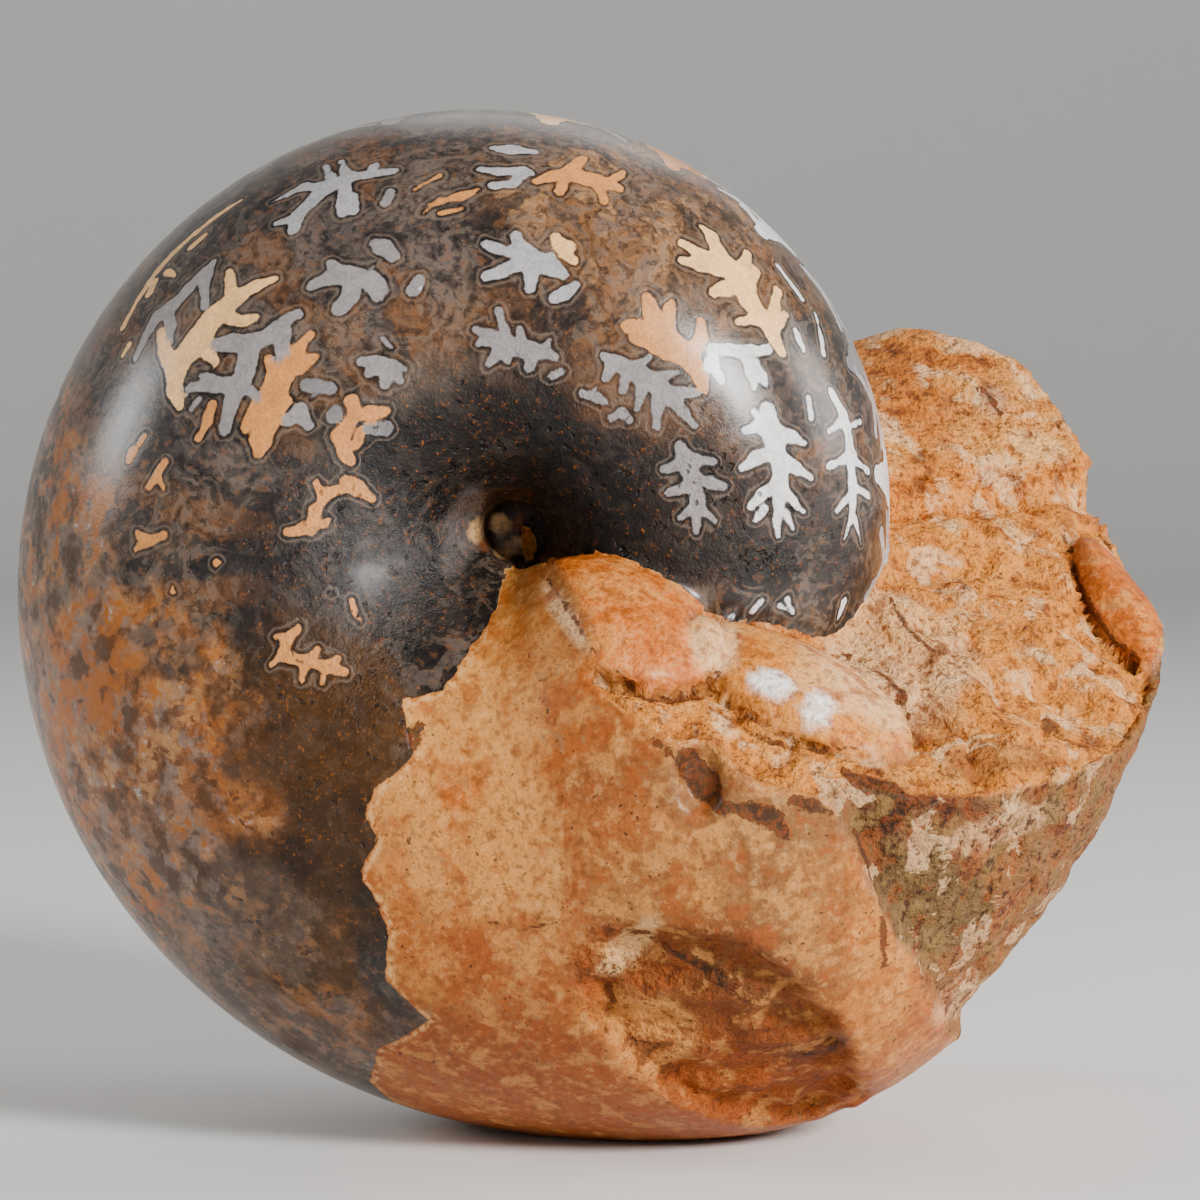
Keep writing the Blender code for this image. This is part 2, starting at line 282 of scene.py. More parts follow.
# Leaves of the shell's inner walls, each as chains of (x, y, half width) read off the photograph
LEAVES = (
    ("pale", ((395, 172, 5), (351, 178, 8), (326, 188, 10), (300, 214, 8), (294, 230, 6)),
     ((326, 188, 8), (306, 187, 6), (272, 203, 2)), ((300, 216, 6), (277, 224, 4)), ((346, 186, 8),
     (343, 214, 6)), ((352, 198, 7), (354, 212, 5)), ((326, 167, 4), (332, 178, 6)), ((342, 162, 4),
     (346, 174, 6)), ((375, 167, 5), (370, 176, 5))),
    ("grey", ((313, 286, 6), (330, 278, 8), (350, 276, 11), (372, 280, 9), (378, 296, 7)),
     ((352, 280, 10), (350, 296, 9), (340, 308, 8)), ((338, 272, 8), (332, 264, 5)), ((380, 284, 7),
     (384, 290, 5)), ((374, 243, 5), (384, 248, 9), (392, 256, 7)), ((391, 192, 5), (386, 203, 5)),
     ((420, 280, 5), (413, 291, 7))),
    ("pale", ((516, 236, 6), (520, 250, 9), (532, 260, 13), (552, 268, 9), (564, 276, 5)),
     ((520, 252, 9), (500, 250, 6), (486, 244, 5)), ((520, 262, 9), (504, 272, 6), (487, 277, 6)),
     ((532, 268, 9), (530, 289, 5)), ((555, 298, 6), (566, 292, 6), (576, 284, 3)), ((545, 262, 7),
     (552, 256, 4))),
    ("cream", ((556, 238, 6), (562, 246, 8), (570, 246, 7)), ((564, 252, 7), (574, 261, 4))),
    ("pale", ((493, 148, 4), (512, 150, 7), (534, 152, 5)), ((482, 170, 5), (500, 172, 6),
     (522, 172, 7), (532, 174, 4)), ((520, 176, 7), (512, 184, 6), (494, 186, 5))),
    ("tan", ((536, 182, 5), (556, 176, 9), (572, 174, 11), (600, 182, 11), (618, 188, 7)),
     ((572, 168, 7), (584, 158, 5)), ((600, 186, 7), (604, 202, 4)), ((565, 178, 7), (560, 192, 5)),
     ((608, 184, 6), (624, 172, 4))),
    ("cream", ((702, 227, 4), (712, 236, 8), (720, 254, 9), (730, 268, 14), (742, 284, 15),
     (750, 302, 12), (764, 318, 11), (774, 334, 10), (782, 352, 5)), ((683, 244, 5), (698, 252, 7),
     (718, 262, 9)), ((683, 260, 5), (700, 264, 8), (720, 268, 10)), ((728, 288, 9), (714, 292, 6)),
     ((748, 254, 5), (742, 270, 9)), ((756, 270, 5), (750, 284, 8)), ((778, 290, 5), (776, 306, 6),
     (770, 320, 8)), ((786, 314, 5), (776, 326, 8)), ((758, 318, 8), (738, 322, 4))),
    ("tan", ((647, 298, 5), (652, 314, 9), (660, 330, 13), (672, 346, 13), (688, 358, 12),
     (700, 376, 8), (706, 392, 4)), ((672, 302, 5), (668, 320, 9)), ((628, 326, 6), (646, 330, 9)),
     ((634, 338, 5), (652, 340, 10)), ((702, 322, 5), (702, 338, 7), (692, 352, 9)), ((655, 348, 7),
     (664, 354, 6))),
    ("grey", ((476, 330, 4), (490, 336, 7), (508, 346, 9), (532, 350, 9), (556, 356, 4)),
     ((478, 344, 4), (494, 342, 6)), ((500, 350, 7), (488, 364, 4)), ((508, 350, 6), (508, 362, 3)),
     ((532, 354, 7), (530, 368, 5)), ((498, 310, 3), (503, 326, 5), (508, 340, 6)), ((522, 344, 6),
     (520, 328, 3)), ((544, 350, 6), (550, 340, 3)), ((552, 376, 4), (562, 372, 4))),
    ("grey", ((604, 356, 5), (620, 364, 7), (640, 374, 9), (660, 386, 9), (676, 402, 7), (694, 426, 3)),
     ((612, 362, 6), (606, 377, 4)), ((628, 370, 6), (623, 391, 4)), ((644, 380, 7), (637, 409, 4)),
     ((660, 392, 7), (656, 426, 4)), ((634, 368, 6), (650, 357, 4)), ((654, 380, 7), (678, 372, 4)),
     ((672, 392, 6), (700, 393, 4))),
    ("grey", ((612, 418, 4), (622, 412, 5), (630, 420, 5)), ((583, 394, 4), (598, 398, 5),
     (606, 402, 3))),
    ("grey", ((680, 446, 6), (686, 462, 9), (694, 482, 8), (698, 502, 7), (697, 520, 4), (696, 532, 2)),
     ((684, 462, 7), (666, 470, 4)), ((690, 486, 7), (668, 494, 4)), ((696, 506, 5), (680, 518, 3)),
     ((690, 460, 7), (714, 462, 4)), ((696, 480, 7), (724, 486, 4)), ((700, 508, 5), (716, 522, 3))),
    ("white", ((768, 410, 8), (770, 428, 12), (776, 448, 10), (780, 466, 9), (780, 484, 9),
     (780, 502, 7), (778, 520, 4), (779, 538, 2)), ((746, 430, 4), (758, 426, 7)), ((754, 412, 4),
     (764, 424, 7)), ((806, 444, 4), (794, 437, 6), (780, 434, 9)), ((742, 468, 4), (754, 460, 6),
     (770, 454, 8)), ((811, 477, 4), (798, 469, 6), (784, 462, 8)), ((751, 506, 4), (762, 496, 6),
     (774, 488, 8)), ((804, 512, 3), (794, 501, 5), (784, 490, 8)), ((755, 521, 3), (766, 508, 4)),
     ((793, 528, 3), (786, 512, 4))),
    ("white", ((832, 392, 5), (844, 416, 7), (850, 436, 7), (850, 456, 7), (853, 479, 7), (854, 502, 6),
     (852, 522, 3)), ((843, 420, 5), (829, 431, 3)), ((848, 458, 5), (830, 466, 4)), ((850, 496, 5),
     (838, 511, 3)), ((850, 426, 5), (861, 421, 3)), ((852, 458, 5), (869, 472, 3)), ((855, 488, 5),
     (869, 495, 3)), ((852, 515, 3), (845, 540, 1)), ((854, 515, 3), (862, 545, 1))),
    ("white", ((712, 346, 5), (730, 350, 6), (748, 352, 7), (768, 350, 5)), ((712, 350, 6),
     (714, 364, 6), (722, 382, 4)), ((748, 354, 6), (752, 372, 6), (754, 388, 3)), ((756, 362, 5),
     (766, 384, 4)), ((708, 360, 4), (706, 370, 3)), ((802, 344, 3), (804, 350, 3)), ((809, 399, 4),
     (812, 418, 4))),
    ("white", ((778, 266, 3), (802, 298, 4)), ((796, 330, 3), (802, 346, 3)), ((816, 314, 3),
     (824, 354, 4)), ((845, 600, 4), (838, 620, 2)), ((788, 600, 4), (793, 614, 2), (780, 606, 2)),
     ((762, 600, 3), (752, 612, 2))),
    ("grey", ((214, 346, 7), (232, 343, 9), (250, 344, 10), (268, 337, 8), (283, 333, 9),
     (284, 364, 8)), ((268, 335, 7), (298, 314, 6)), ((250, 346, 11), (247, 368, 11), (241, 386, 10),
     (232, 402, 8), (226, 430, 7)), ((240, 384, 9), (215, 386, 8), (191, 388, 6)), ((212, 380, 6),
     (203, 376, 5)), ((245, 386, 8), (257, 396, 5)), ((200, 398, 4), (192, 410, 3))),
    ("grey", ((214, 262, 5), (206, 282, 6), (206, 304, 6)), ((204, 272, 5), (190, 288, 7),
     (176, 304, 8), (158, 316, 8), (146, 338, 6), (137, 358, 4)), ((170, 306, 7), (171, 328, 6),
     (172, 342, 5))),
    ("grey", ((362, 361, 5), (376, 364, 8), (392, 366, 7), (406, 369, 3)), ((372, 368, 6),
     (368, 374, 4)), ((390, 370, 7), (386, 384, 6)), ((396, 372, 5), (400, 382, 3)), ((383, 338, 3),
     (392, 348, 3)), ((288, 420, 7), (300, 412, 9), (308, 425, 6))),
    ("slate", ((306, 386, 6), (330, 388, 7)), ((335, 415, 9),), ((368, 428, 7), (386, 429, 7))),
    ("cream", ((276, 279, 4), (256, 286, 7), (240, 296, 9), (220, 312, 12), (204, 332, 14),
     (188, 352, 14), (177, 372, 12), (176, 392, 9), (180, 406, 5)), ((230, 272, 4), (232, 292, 7)),
     ((222, 314, 9), (244, 322, 6), (256, 318, 4)), ((162, 332, 5), (166, 350, 8), (174, 366, 10)),
     ((204, 345, 10), (216, 362, 5))),
    ("tan", ((312, 334, 4), (296, 352, 8), (284, 374, 12), (274, 396, 15), (266, 418, 15),
     (262, 440, 10), (260, 452, 5)), ((318, 356, 4), (298, 366, 9)), ((256, 408, 8), (245, 428, 5)),
     ((278, 410, 9), (290, 400, 5)), ((270, 360, 5), (276, 384, 9))),
    ("tan", ((214, 405, 5), (208, 420, 5), (200, 438, 4))),
    ("tan", ((352, 400, 6), (356, 416, 7), (372, 414, 7), (388, 410, 4)), ((352, 420, 7), (340, 436, 9),
     (345, 454, 7), (352, 460, 4)), ((362, 430, 5), (356, 445, 5))),
    ("tan", ((372, 498, 5), (358, 488, 8), (346, 480, 5)), ((344, 488, 4), (326, 496, 5), (316, 510, 6),
     (312, 530, 6)), ((316, 482, 3), (322, 494, 4)), ((312, 528, 5), (288, 532, 4)), ((314, 526, 5),
     (329, 522, 4))),
    ("tan", ((134, 452, 7), (130, 460, 4)), ((140, 444, 4), (146, 436, 3)), ((166, 462, 4),
     (158, 474, 5), (150, 486, 4)), ((158, 474, 3), (165, 488, 2)), ((148, 542, 6), (163, 535, 5)),
     ((148, 542, 5), (138, 532, 3)), ((148, 542, 4), (136, 550, 2)), ((217, 563, 4),), ((173, 591, 4),),
     ((332, 593, 3),), ((355, 614, 5), (352, 602, 3), (362, 622, 2))),
    ("cream", ((242, 201, 2), (216, 218, 4), (196, 234, 5), (176, 252, 4), (158, 272, 6), (140, 298, 4),
     (124, 328, 4)), ((205, 236, 4), (192, 248, 4)), ((168, 272, 5), (176, 276, 3)), ((156, 282, 6),
     (150, 294, 4)), ((130, 345, 4), (124, 355, 3))),
    ("tan", ((298, 628, 5), (286, 640, 5), (283, 655, 5), (305, 662, 5), (325, 667, 4), (343, 672, 5)),
     ((283, 655, 4), (272, 664, 3)), ((305, 662, 4), (302, 680, 3)), ((325, 667, 4), (322, 682, 3)),
     ((290, 634, 4), (276, 636, 3)), ((310, 660, 4), (318, 648, 3)), ((330, 668, 4), (338, 658, 3))),
    ("tan", ((430, 205, 3), (462, 196, 5)), ((440, 214, 3), (462, 209, 3)), ((462, 198, 5),
     (478, 190, 2)), ((415, 190, 2), (440, 176, 3)), ((440, 200, 3), (424, 214, 2))),
)

# Dark lines of the stone fill and the broken face, in the same way
CRACKS = (
    ((893, 598, 2), (903, 618, 3), (918, 636, 3), (940, 656, 1)),
    ((800, 634, 1), (850, 650, 2), (885, 672, 3), (905, 692, 4), (912, 716, 2)),
    ((740, 718, 1), (775, 736, 2), (815, 746, 2), (856, 748, 1)),
    ((486, 922, 1), (520, 931, 1), (560, 922, 1)),
    ((1068, 532, 3), (1074, 568, 4), (1092, 610, 4), (1116, 642, 3), (1142, 660, 1)),
    ((976, 384, 3), (988, 394, 4), (1003, 412, 3)),
    ((548, 580, 1), (566, 606, 2), (586, 638, 1)),
    ((590, 648, 1), (622, 676, 2), (652, 698, 3), (700, 694, 2), (722, 668, 1)),
    ((652, 740, 2), (686, 760, 13), (706, 786, 15), (724, 812, 4)),
    ((724, 806, 3), (752, 812, 8), (772, 818, 9), (786, 836, 5)),
    ((792, 800, 4), (812, 806, 7), (832, 814, 3)),
    ((846, 770, 5), (868, 782, 13), (892, 786, 12), (910, 802, 8), (888, 828, 9)),
    ((396, 726, 4), (408, 740, 12), (420, 726, 5)),
    ((930, 800, 4), (952, 812, 5), (944, 828, 3)),
    ((858, 832, 3), (876, 880, 3), (884, 930, 3), (884, 968, 2)),
    ((604, 930, 2), (640, 938, 3), (680, 958, 4), (720, 984, 3), (752, 1004, 2)),
    ((690, 960, 3), (712, 976, 8), (736, 986, 4)),
    ((790, 1062, 3), (830, 1056, 7), (846, 1040, 3)),
    ((600, 960, 2), (612, 1000, 3), (608, 1032, 2)),
)

# Where the shell ends and the stone fill starts: turn in degrees, and distance from the coil's axis
FILL_EDGE = (
    (302, 2.9), (273, 5.8), (260, 9.5), (253, 13.7), (241, 16), (248, 18), (252, 20), (246, 24.5),
    (246, 27.1), (250.5, 28.8), (249, 32.8), (253, 34.1), (256, 37.1), (257, 42.2), (263, 45.5), (257, 50.1),
    (256, 54.8), (258, 57.1),
)

# Tones over the shell, (tone, strength, middle x, y, half sizes, turn): ovals on the photograph
GROUNDS = (
    ("top", 0.9, 500, 150, 260, 75, 0),
    ("ash", 0.7, 330, 250, 150, 130, -30),
    ("fawn", 0.7, 640, 225, 140, 105, 15),
    ("dusk", 0.5, 380, 440, 100, 60, -40),
    ("charcoal", 0.9, 270, 500, 210, 120, 0),
    ("bark", 0.5, 640, 380, 200, 80, 20),
    ("soot", 0.95, 500, 470, 140, 95, 0),
    ("soot", 0.95, 660, 520, 220, 85, 18),
    ("soot", 0.7, 420, 610, 100, 90, 0),
    ("charcoal", 0.6, 830, 430, 60, 150, -10),
    ("charcoal", 0.7, 130, 480, 90, 130, 10),
    ("bronze", 1.0, 305, 800, 110, 160, 0),
    ("soot", 0.35, 330, 860, 60, 90, 0),
    ("soot", 0.6, 390, 980, 50, 90, -10),
    ("crystal", 0.9, 110, 780, 130, 190, -25),
    ("bronze", 1.0, 250, 970, 160, 90, 35),
    ("pearl", 0.3, 240, 900, 80, 50, 35),
    # painted glare: a pale band down the left rim of the shell
    ("pearl", 0.5, 70, 600, 40, 160, 5),
    ("pearl", 0.3, 150, 880, 100, 80, 40),
    ("rust", 0.8, 64, 640, 12, 34, 5),
    ("rust", 0.7, 122, 642, 26, 20, 0),
    ("rust", 0.5, 200, 634, 26, 14, 0),
    ("rust", 0.5, 120, 770, 36, 24, 10),
    # painted highlight: a pale grey strip down the funnel wall of the umbilicus
    ("ash", 0.9, 462, 535, 16, 44, 18),
    ("cream", 0.8, 478, 530, 9, 12, 20),
    ("bronze", 0.5, 500, 500, 40, 12, -10),
    ("soot", 1.0, 508, 532, 27, 28, 0),
    ("cream", 1.0, 500, 524, 9, 9, 0),
    ("clay", 0.9, 519, 521, 5, 9, 20),
    ("cream", 0.8, 517, 543, 8, 6, -30),
    ("cream", 0.8, 502, 553, 9, 6, 10),
    ("clay", 0.8, 486, 545, 6, 8, 30),
)

# The same over the stone fill and the broken face
FILLS = (
    ("wheat", 0.6, 470, 800, 90, 170, -12),
    ("ochre", 0.75, 600, 1085, 300, 66, 3),
    ("amber", 0.4, 540, 960, 120, 50, 10),
    ("orange", 0.9, 460, 790, 22, 27, 20),
    ("weathered", 0.35, 610, 775, 60, 30, 0),
    ("weathered", 0.55, 790, 900, 80, 100, 0),
    ("weathered", 0.6, 698, 785, 46, 44, -10),
    ("weathered", 0.6, 780, 822, 80, 24, 8),
    ("clay", 0.55, 720, 980, 120, 60, 25),
    ("hollow", 0.6, 825, 1050, 36, 14, -30),
    ("hollow", 0.4, 740, 985, 70, 9, 28),
    ("wheat", 0.6, 650, 1040, 50, 40, 0),
    ("cream", 0.7, 632, 945, 12, 40, 50),
    ("clay", 0.6, 770, 1030, 70, 26, 20),
    ("plum", 0.35, 885, 800, 50, 46, 20),
    ("moss", 0.7, 930, 900, 60, 60, 20),
    ("bloom", 0.4, 1000, 830, 60, 16, -20),
    ("bloom", 0.4, 960, 1000, 40, 16, -40),
    ("plum", 0.6, 950, 805, 40, 16, 10),
    ("hollow", 0.5, 880, 850, 22, 50, -10),
    ("bloom", 0.9, 563, 612, 9, 38, -35),
    ("bloom", 0.7, 718, 640, 26, 30, 0),
    ("wheat", 0.4, 610, 585, 40, 14, 12),
    ("bloom", 0.45, 850, 680, 60, 40, 18),
    ("chalk", 1.0, 772, 683, 19, 14, 20),
    ("chalk", 1.0, 818, 711, 17, 18, 0),
    ("bloom", 0.55, 900, 660, 70, 60, 30),
    ("clay", 0.5, 942, 722, 24, 20, 0),
    ("amber", 0.5, 930, 380, 90, 60, 10),
    ("wheat", 0.5, 1010, 420, 70, 60, 20),
    ("cream", 0.6, 1042, 450, 34, 14, 20),
    ("slate", 0.4, 990, 400, 22, 16, 40),
    ("clay", 0.5, 1085, 560, 12, 60, -15),
    ("moss", 0.6, 1168, 700, 14, 80, 8),
    ("red", 0.8, 990, 484, 12, 10, 30),
    ("hollow", 0.8, 1120, 614, 5, 5, 0),
    ("hollow", 0.8, 1054, 722, 9, 9, 0),
    ("plum", 0.5, 1005, 760, 60, 16, 0),
)

# Pitted and crystalline parts of the shell: (strength, middle x, y, half sizes, turn)
GRIT = (
    (1.0, 520, 440, 190, 80, 5),
    (1.0, 650, 500, 200, 80, 15),
    (0.8, 360, 560, 120, 150, 20),
    (1.0, 310, 840, 110, 190, -8),
)
CRYSTAL = (
    (1.0, 105, 760, 130, 190, -20),
    (0.35, 250, 980, 160, 90, 35),
    (0.8, 60, 560, 60, 150, 0),
)

# Small holes of the broken end: place, radius and depth
HOLES = (((54.4, -14.2, -16.8), 1.4, 0.9), ((42.7, -32.9, -24.1), 1.2, 0.8))


class Wire:
    """A socket that Python's operators can calculate with; each operation adds a Math node."""

    def __init__(self, graph, socket):
        self.graph = graph
        self.socket = socket

    def math(self, operation, first, second=0.0):
        return self.graph.add("ShaderNodeMath", {"operation": operation}, {0: first, 1: second})

    def __add__(self, other):
        return self.math("ADD", self, other)

    def __radd__(self, other):
        return self.math("ADD", other, self)

    def __sub__(self, other):
        return self.math("SUBTRACT", self, other)

    def __rsub__(self, other):
        return self.math("SUBTRACT", other, self)

    def __mul__(self, other):
        return self.math("MULTIPLY", self, other)

    def __rmul__(self, other):
        return self.math("MULTIPLY", other, self)

    def __truediv__(self, other):
        return self.math("DIVIDE", self, other)

    def __rtruediv__(self, other):
        return self.math("DIVIDE", other, self)

    def __pow__(self, other):
        return self.math("POWER", self, other)

    def __neg__(self):
        return self.math("MULTIPLY", self, -1.0)

    def __gt__(self, other):
        return self.math("GREATER_THAN", self, other)

    def __lt__(self, other):
        return self.math("LESS_THAN", self, other)


class Graph:
    """Adds nodes to a node tree."""

    def __init__(self, tree):
        self.tree = tree

    def add(self, kind, settings=None, sockets=None, out=0):
        """Adds a node, makes its settings, then fills its sockets with values or wires."""
        node = self.tree.nodes.new(kind)
        for name, value in (settings or {}).items():
            setattr(node, name, value)
        for name, value in (sockets or {}).items():
            if isinstance(value, Wire):
                self.tree.links.new(value.socket, node.inputs[name])
            else:
                node.inputs[name].default_value = value
        return Wire(self, node.outputs[out]) if out is not None and node.outputs else node

    def mix(self, share, first, second, kind="MIX"):
        """Blends two colours."""
        settings = {"data_type": "RGBA", "blend_type": kind, "clamp_result": False}
        return self.add("ShaderNodeMix", settings, {0: share, 6: colour4(first), 7: colour4(second)}, out=2)

    def noise(self, place, scale, detail, roughness, distortion=0.0, out="Fac"):
        names = ("Vector", "Scale", "Detail", "Roughness", "Distortion")
        sockets = dict(zip(names, (place, scale, detail, roughness, distortion)))
        return self.add("ShaderNodeTexNoise", {}, sockets, out=out)

    def cells(self, place, scale, out="Distance"):
        return self.add("ShaderNodeTexVoronoi", {}, {"Vector": place, "Scale": scale}, out=out)

    def vector(self, operation, first, second=None, scale=None):
        sockets = {0: first}
        if second is not None:
            sockets[1] = second
        if scale is not None:
            sockets["Scale"] = scale
        return self.add("ShaderNodeVectorMath", {"operation": operation}, sockets)

    def split(self, wire, kind):
        """The three parts of a vector or a colour."""
        node = self.add(kind, {}, {0: wire}).socket.node
        return [Wire(self, output) for output in node.outputs[:3]]


def colour4(value):
    return value if isinstance(value, Wire) else (*value[:3], 1.0)


def work_out(operation, numeric, *values):
    """One step of a rule, on numbers and arrays, or on wires if any of its values is one."""
    for value in values:
        if isinstance(value, Wire):
            return value.math(operation, *values)
    return numeric(*values)


def larger(first, second):
    return work_out("MAXIMUM", np.maximum, first, second)


def smaller(first, second):
    return work_out("MINIMUM", np.minimum, first, second)


def root(value):
    return work_out("SQRT", np.sqrt, value)


def exponential(value):
    return work_out("EXPONENT", np.exp, value)


def size_of(value):
    return work_out("ABSOLUTE", np.abs, value)


def turn_of(up, right):
    return work_out("ARCTAN2", np.arctan2, up, right)


def clip01(value):
    return smaller(larger(value, 0.0), 1.0)


def smooth(low, high, value):
    share = clip01((value - low) / (high - low))
    return share * share * (3.0 - 2.0 * share)


def pick(test, chosen, other):
    """The chosen value where the test holds, else the other."""
    return other + (chosen - other) * test


def join_deeper(first, second, blend):
    """The larger of two distances, rounded where they meet."""
    share = clip01(0.5 + 0.5 * (first - second) / blend)
    return second + (first - second) * share + blend * share * (1.0 - share)


def join_wider(first, second, blend):
    """The smaller of two distances, rounded where they meet."""
    return -join_deeper(-first, -second, blend)


def along(axis, x, y, z):
    return x * axis[0] + y * axis[1] + z * axis[2]


def outer_radius(turn, form):
    """Distance of the coil's outer edge from its axis at a turn angle."""
    spiral = form.bottom_radius * exponential(form.growth * (turn - BOTTOM_TURN))
    bulge = (turn - SWELL_AT) / SWELL_WIDTH
    return spiral + form.swell * exponential(-0.5 * bulge * bulge)


def whorl_distance(radius, height, outer, form):
    """Distance from a whorl's surface, at a radius and a height over the coil's middle plane."""
    share = radius / outer
    rise = size_of(height) / outer
    across = larger(share - THICKEST_AT, 0.0) / (1.0 - THICKEST_AT)
    up = rise / form.half_thickness
    flank = (root(across * across + up * up) - 1.0) * (1.0 - THICKEST_AT)
    left = 1.0 - smaller(share / THICKEST_AT, 1.0)
    drop = form.half_thickness - AXIS_HEIGHT
    top = AXIS_HEIGHT + drop * (1.0 - left**FUNNEL_CURVE)
    slope = drop * FUNNEL_CURVE / THICKEST_AT * left ** (FUNNEL_CURVE - 1.0)
    funnel = (rise - top) / root(1.0 + slope * slope)
    return pick(share > THICKEST_AT, flank, funnel) * outer


def hump(right, back, middle, half_sizes, turn, height, fullness):
    """Relief of a rounded shell that stands out of the broken face."""
    turn = turn * DEGREE
    across = ((right - middle[0]) * math.cos(turn) + (back - middle[1]) * math.sin(turn)) / half_sizes[0]
    length = ((back - middle[1]) * math.cos(turn) - (right - middle[0]) * math.sin(turn)) / half_sizes[1]
    return height * larger(1.0 - across * across - length * length, 0.0) ** fullness


def dent(right, back, middle, spreads):
    across = (right - middle[0]) / spreads[0]
    length = (back - middle[1]) / spreads[1]
    return exponential(-(across * across) - length * length)


def squared(value):
    return value * value


def ledge_place(right, back):
    """How far back from the ledge's foot a place of the broken face is."""
    foot = LEDGE_FOOT[1] + LEDGE_SLOPE * (right - LEDGE_FOOT[0])
    return (back - foot) / math.hypot(1.0, LEDGE_SLOPE)


def break_relief(right, back):
    """Height of the broken face over its plane."""
    ledge = ledge_place(right, back)
    lobe = smooth(*LEDGE_STEP, ledge)
    low = 1.0 - lobe
    crown, middle, spreads = LOBE_CROWN
    depth, ends = LOBE_DROP
    height = lobe * (LOBE_RISE + crown * dent(right, back, middle, spreads) - depth * smooth(*ends, right))
    depth, ends = FRONT_DROP
    height = height - depth * low * smooth(*ends, back)
    depth, ends, back_ends = CORNER_DROP
    height = height - depth * low * smooth(*ends, right) * smooth(*back_ends, back)
    depth, ends, before, width = FOOT_GROOVE
    height = height - depth * smooth(*ends, right) * exponential(-squared((ledge + before) / width))
    for shell in SHELLS:
        height = height + hump(right, back, *shell)
    for depth, middle, spreads in DENTS:
        height = height - depth * dent(right, back, middle, spreads)
    return height


def weather_place(x, z):
    """How far right of the crisp edge down the last whorl's flank a place is."""
    return (x - EDGE_AT[0]) * EDGE_WAY[0] + (z - EDGE_AT[1]) * EDGE_WAY[1]


def scar_place(x, z):
    """1 on the outline of the scar under the flank, 0 at its middle."""
    right, up = x - SCAR_MIDDLE[0], z - SCAR_MIDDLE[1]
    length = (right * SCAR_WAY[0] - up * SCAR_WAY[1]) / SCAR_HALF_SIZES[0]
    width = (right * SCAR_WAY[1] + up * SCAR_WAY[0]) / SCAR_HALF_SIZES[1]
    return root(squared(length) + squared(width))


def worn_depth(x, y, z):
    """How far the last whorl's surface has sunk, by weathering, a scar and a chip."""
    weathered = WEATHERED_DEPTH * smooth(*WEATHERED_STEP, weather_place(x, z))
    scar = SCAR_DEPTH * smooth(*SCAR_STEP, scar_place(x, z))
    right = (x - CHIP_MIDDLE[0]) / CHIP_HALF_SIZES[0]
    up = (z - CHIP_MIDDLE[1]) / CHIP_HALF_SIZES[1]
    chip = CHIP_DEPTH * smooth(*CHIP_STEP, root(squared(right) + squared(up)))
    return weathered + smooth(*NEAR_SIDE, y) * (scar + chip)


def coil_parts(x, y, z, form):
    """Distances from the inner coil, the last whorl's own surface, its cuts, and all of it together."""
    shift = exponential(-(x * x + z * z) / HOLE_SHIFT_REACH**2) * smooth(*HOLE_SHIFT_DEPTHS, y)
    right = x - HOLE_SHIFT[0] * shift
    up = z - HOLE_SHIFT[1] * shift
    radius = root(right * right + up * up)
    turn = turn_of(up, right)
    turn = turn + (turn < -0.5 * math.pi) * (2.0 * math.pi)
    inner = whorl_distance(radius, y, outer_radius(turn, form), form)
    last = whorl_distance(radius, y, outer_radius(turn + 2.0 * math.pi, form), form) + worn_depth(x, y, z)
    last = pick(turn < ARM_ENDS_AT, last, NO_WHORL)
    relief = break_relief(along(BREAK_RIGHT, x, y, z), along(BREAK_BACK, x, y, z))
    broken = (along(BREAK_NORMAL, x, y, z) - form.break_offset - relief) * BREAK_STEEPNESS
    rim = along(RIM_NORMAL, x, y, z) - RIM_OFFSET
    far = along(FAR_NORMAL, x, y, z) - FAR_OFFSET
    near = z - NEAR_SLOPE * x + NEAR_DROP - NEAR_RISE * larger(y - NEAR_TURNS_UP_AT, 0.0)
    near = near / NEAR_STEEPNESS
    arm = last
    for cut, blend in ((broken, BREAK_BLEND), (rim, RIM_BLEND), (far, FAR_BLEND), (near, NEAR_BLEND)):
        arm = join_deeper(arm, cut, blend)
    hole = larger(radius - form.hole_radius, HOLE_FLOOR - size_of(y))
    body = join_deeper(join_wider(inner, arm, WHORL_BLEND), -hole, HOLE_BLEND)
    return SimpleNamespace(
        inner=inner,
        last=last,
        broken=broken,
        rim=rim,
        far=far,
        near=near,
        arm=arm,
        radius=radius,
        turn=turn,
        body=larger(body, REST_HEIGHT - z),
    )


def coil_distance(place, form):
    """Distance of places, an array of rows, from the surface; it is negative inside the stone."""
    return coil_parts(place[:, 0], place[:, 1], place[:, 2], form).body


def coil_slope(place, form):
    """The surface rule's gradient at places."""
    middle = coil_distance(place, form)
    sides = [coil_distance(place + axis * SLOPE_STEP, form) for axis in np.eye(3)]
    return middle, np.stack([(side - middle) / SLOPE_STEP for side in sides], axis=1)


def settle(place, form):
    """Moves places onto the surface, along its gradient."""
    for _ in range(SETTLE_ROUNDS):
        distance, slope = coil_slope(place, form)
        length = np.maximum((slope * slope).sum(axis=1), LEAST_SLOPE)
        place = place - np.clip(distance / length, -LONGEST_MOVE, LONGEST_MOVE)[:, None] * slope
    return place


# Geometry Nodes

FORM_INPUTS = {
    "Bottom radius": "bottom_radius",
    "Growth": "growth",
    "Half thickness": "half_thickness",
    "Swell": "swell",
    "Break offset": "break_offset",
    "Hole radius": "hole_radius",
}


def new_tree(name, inputs, outputs):
    tree = bpy.data.node_groups.new(name, "GeometryNodeTree")
    for in_out, sockets in (("INPUT", inputs), ("OUTPUT", outputs)):
        for socket, kind in sockets.items():
            tree.interface.new_socket(socket, in_out=in_out, socket_type=kind)
    return tree


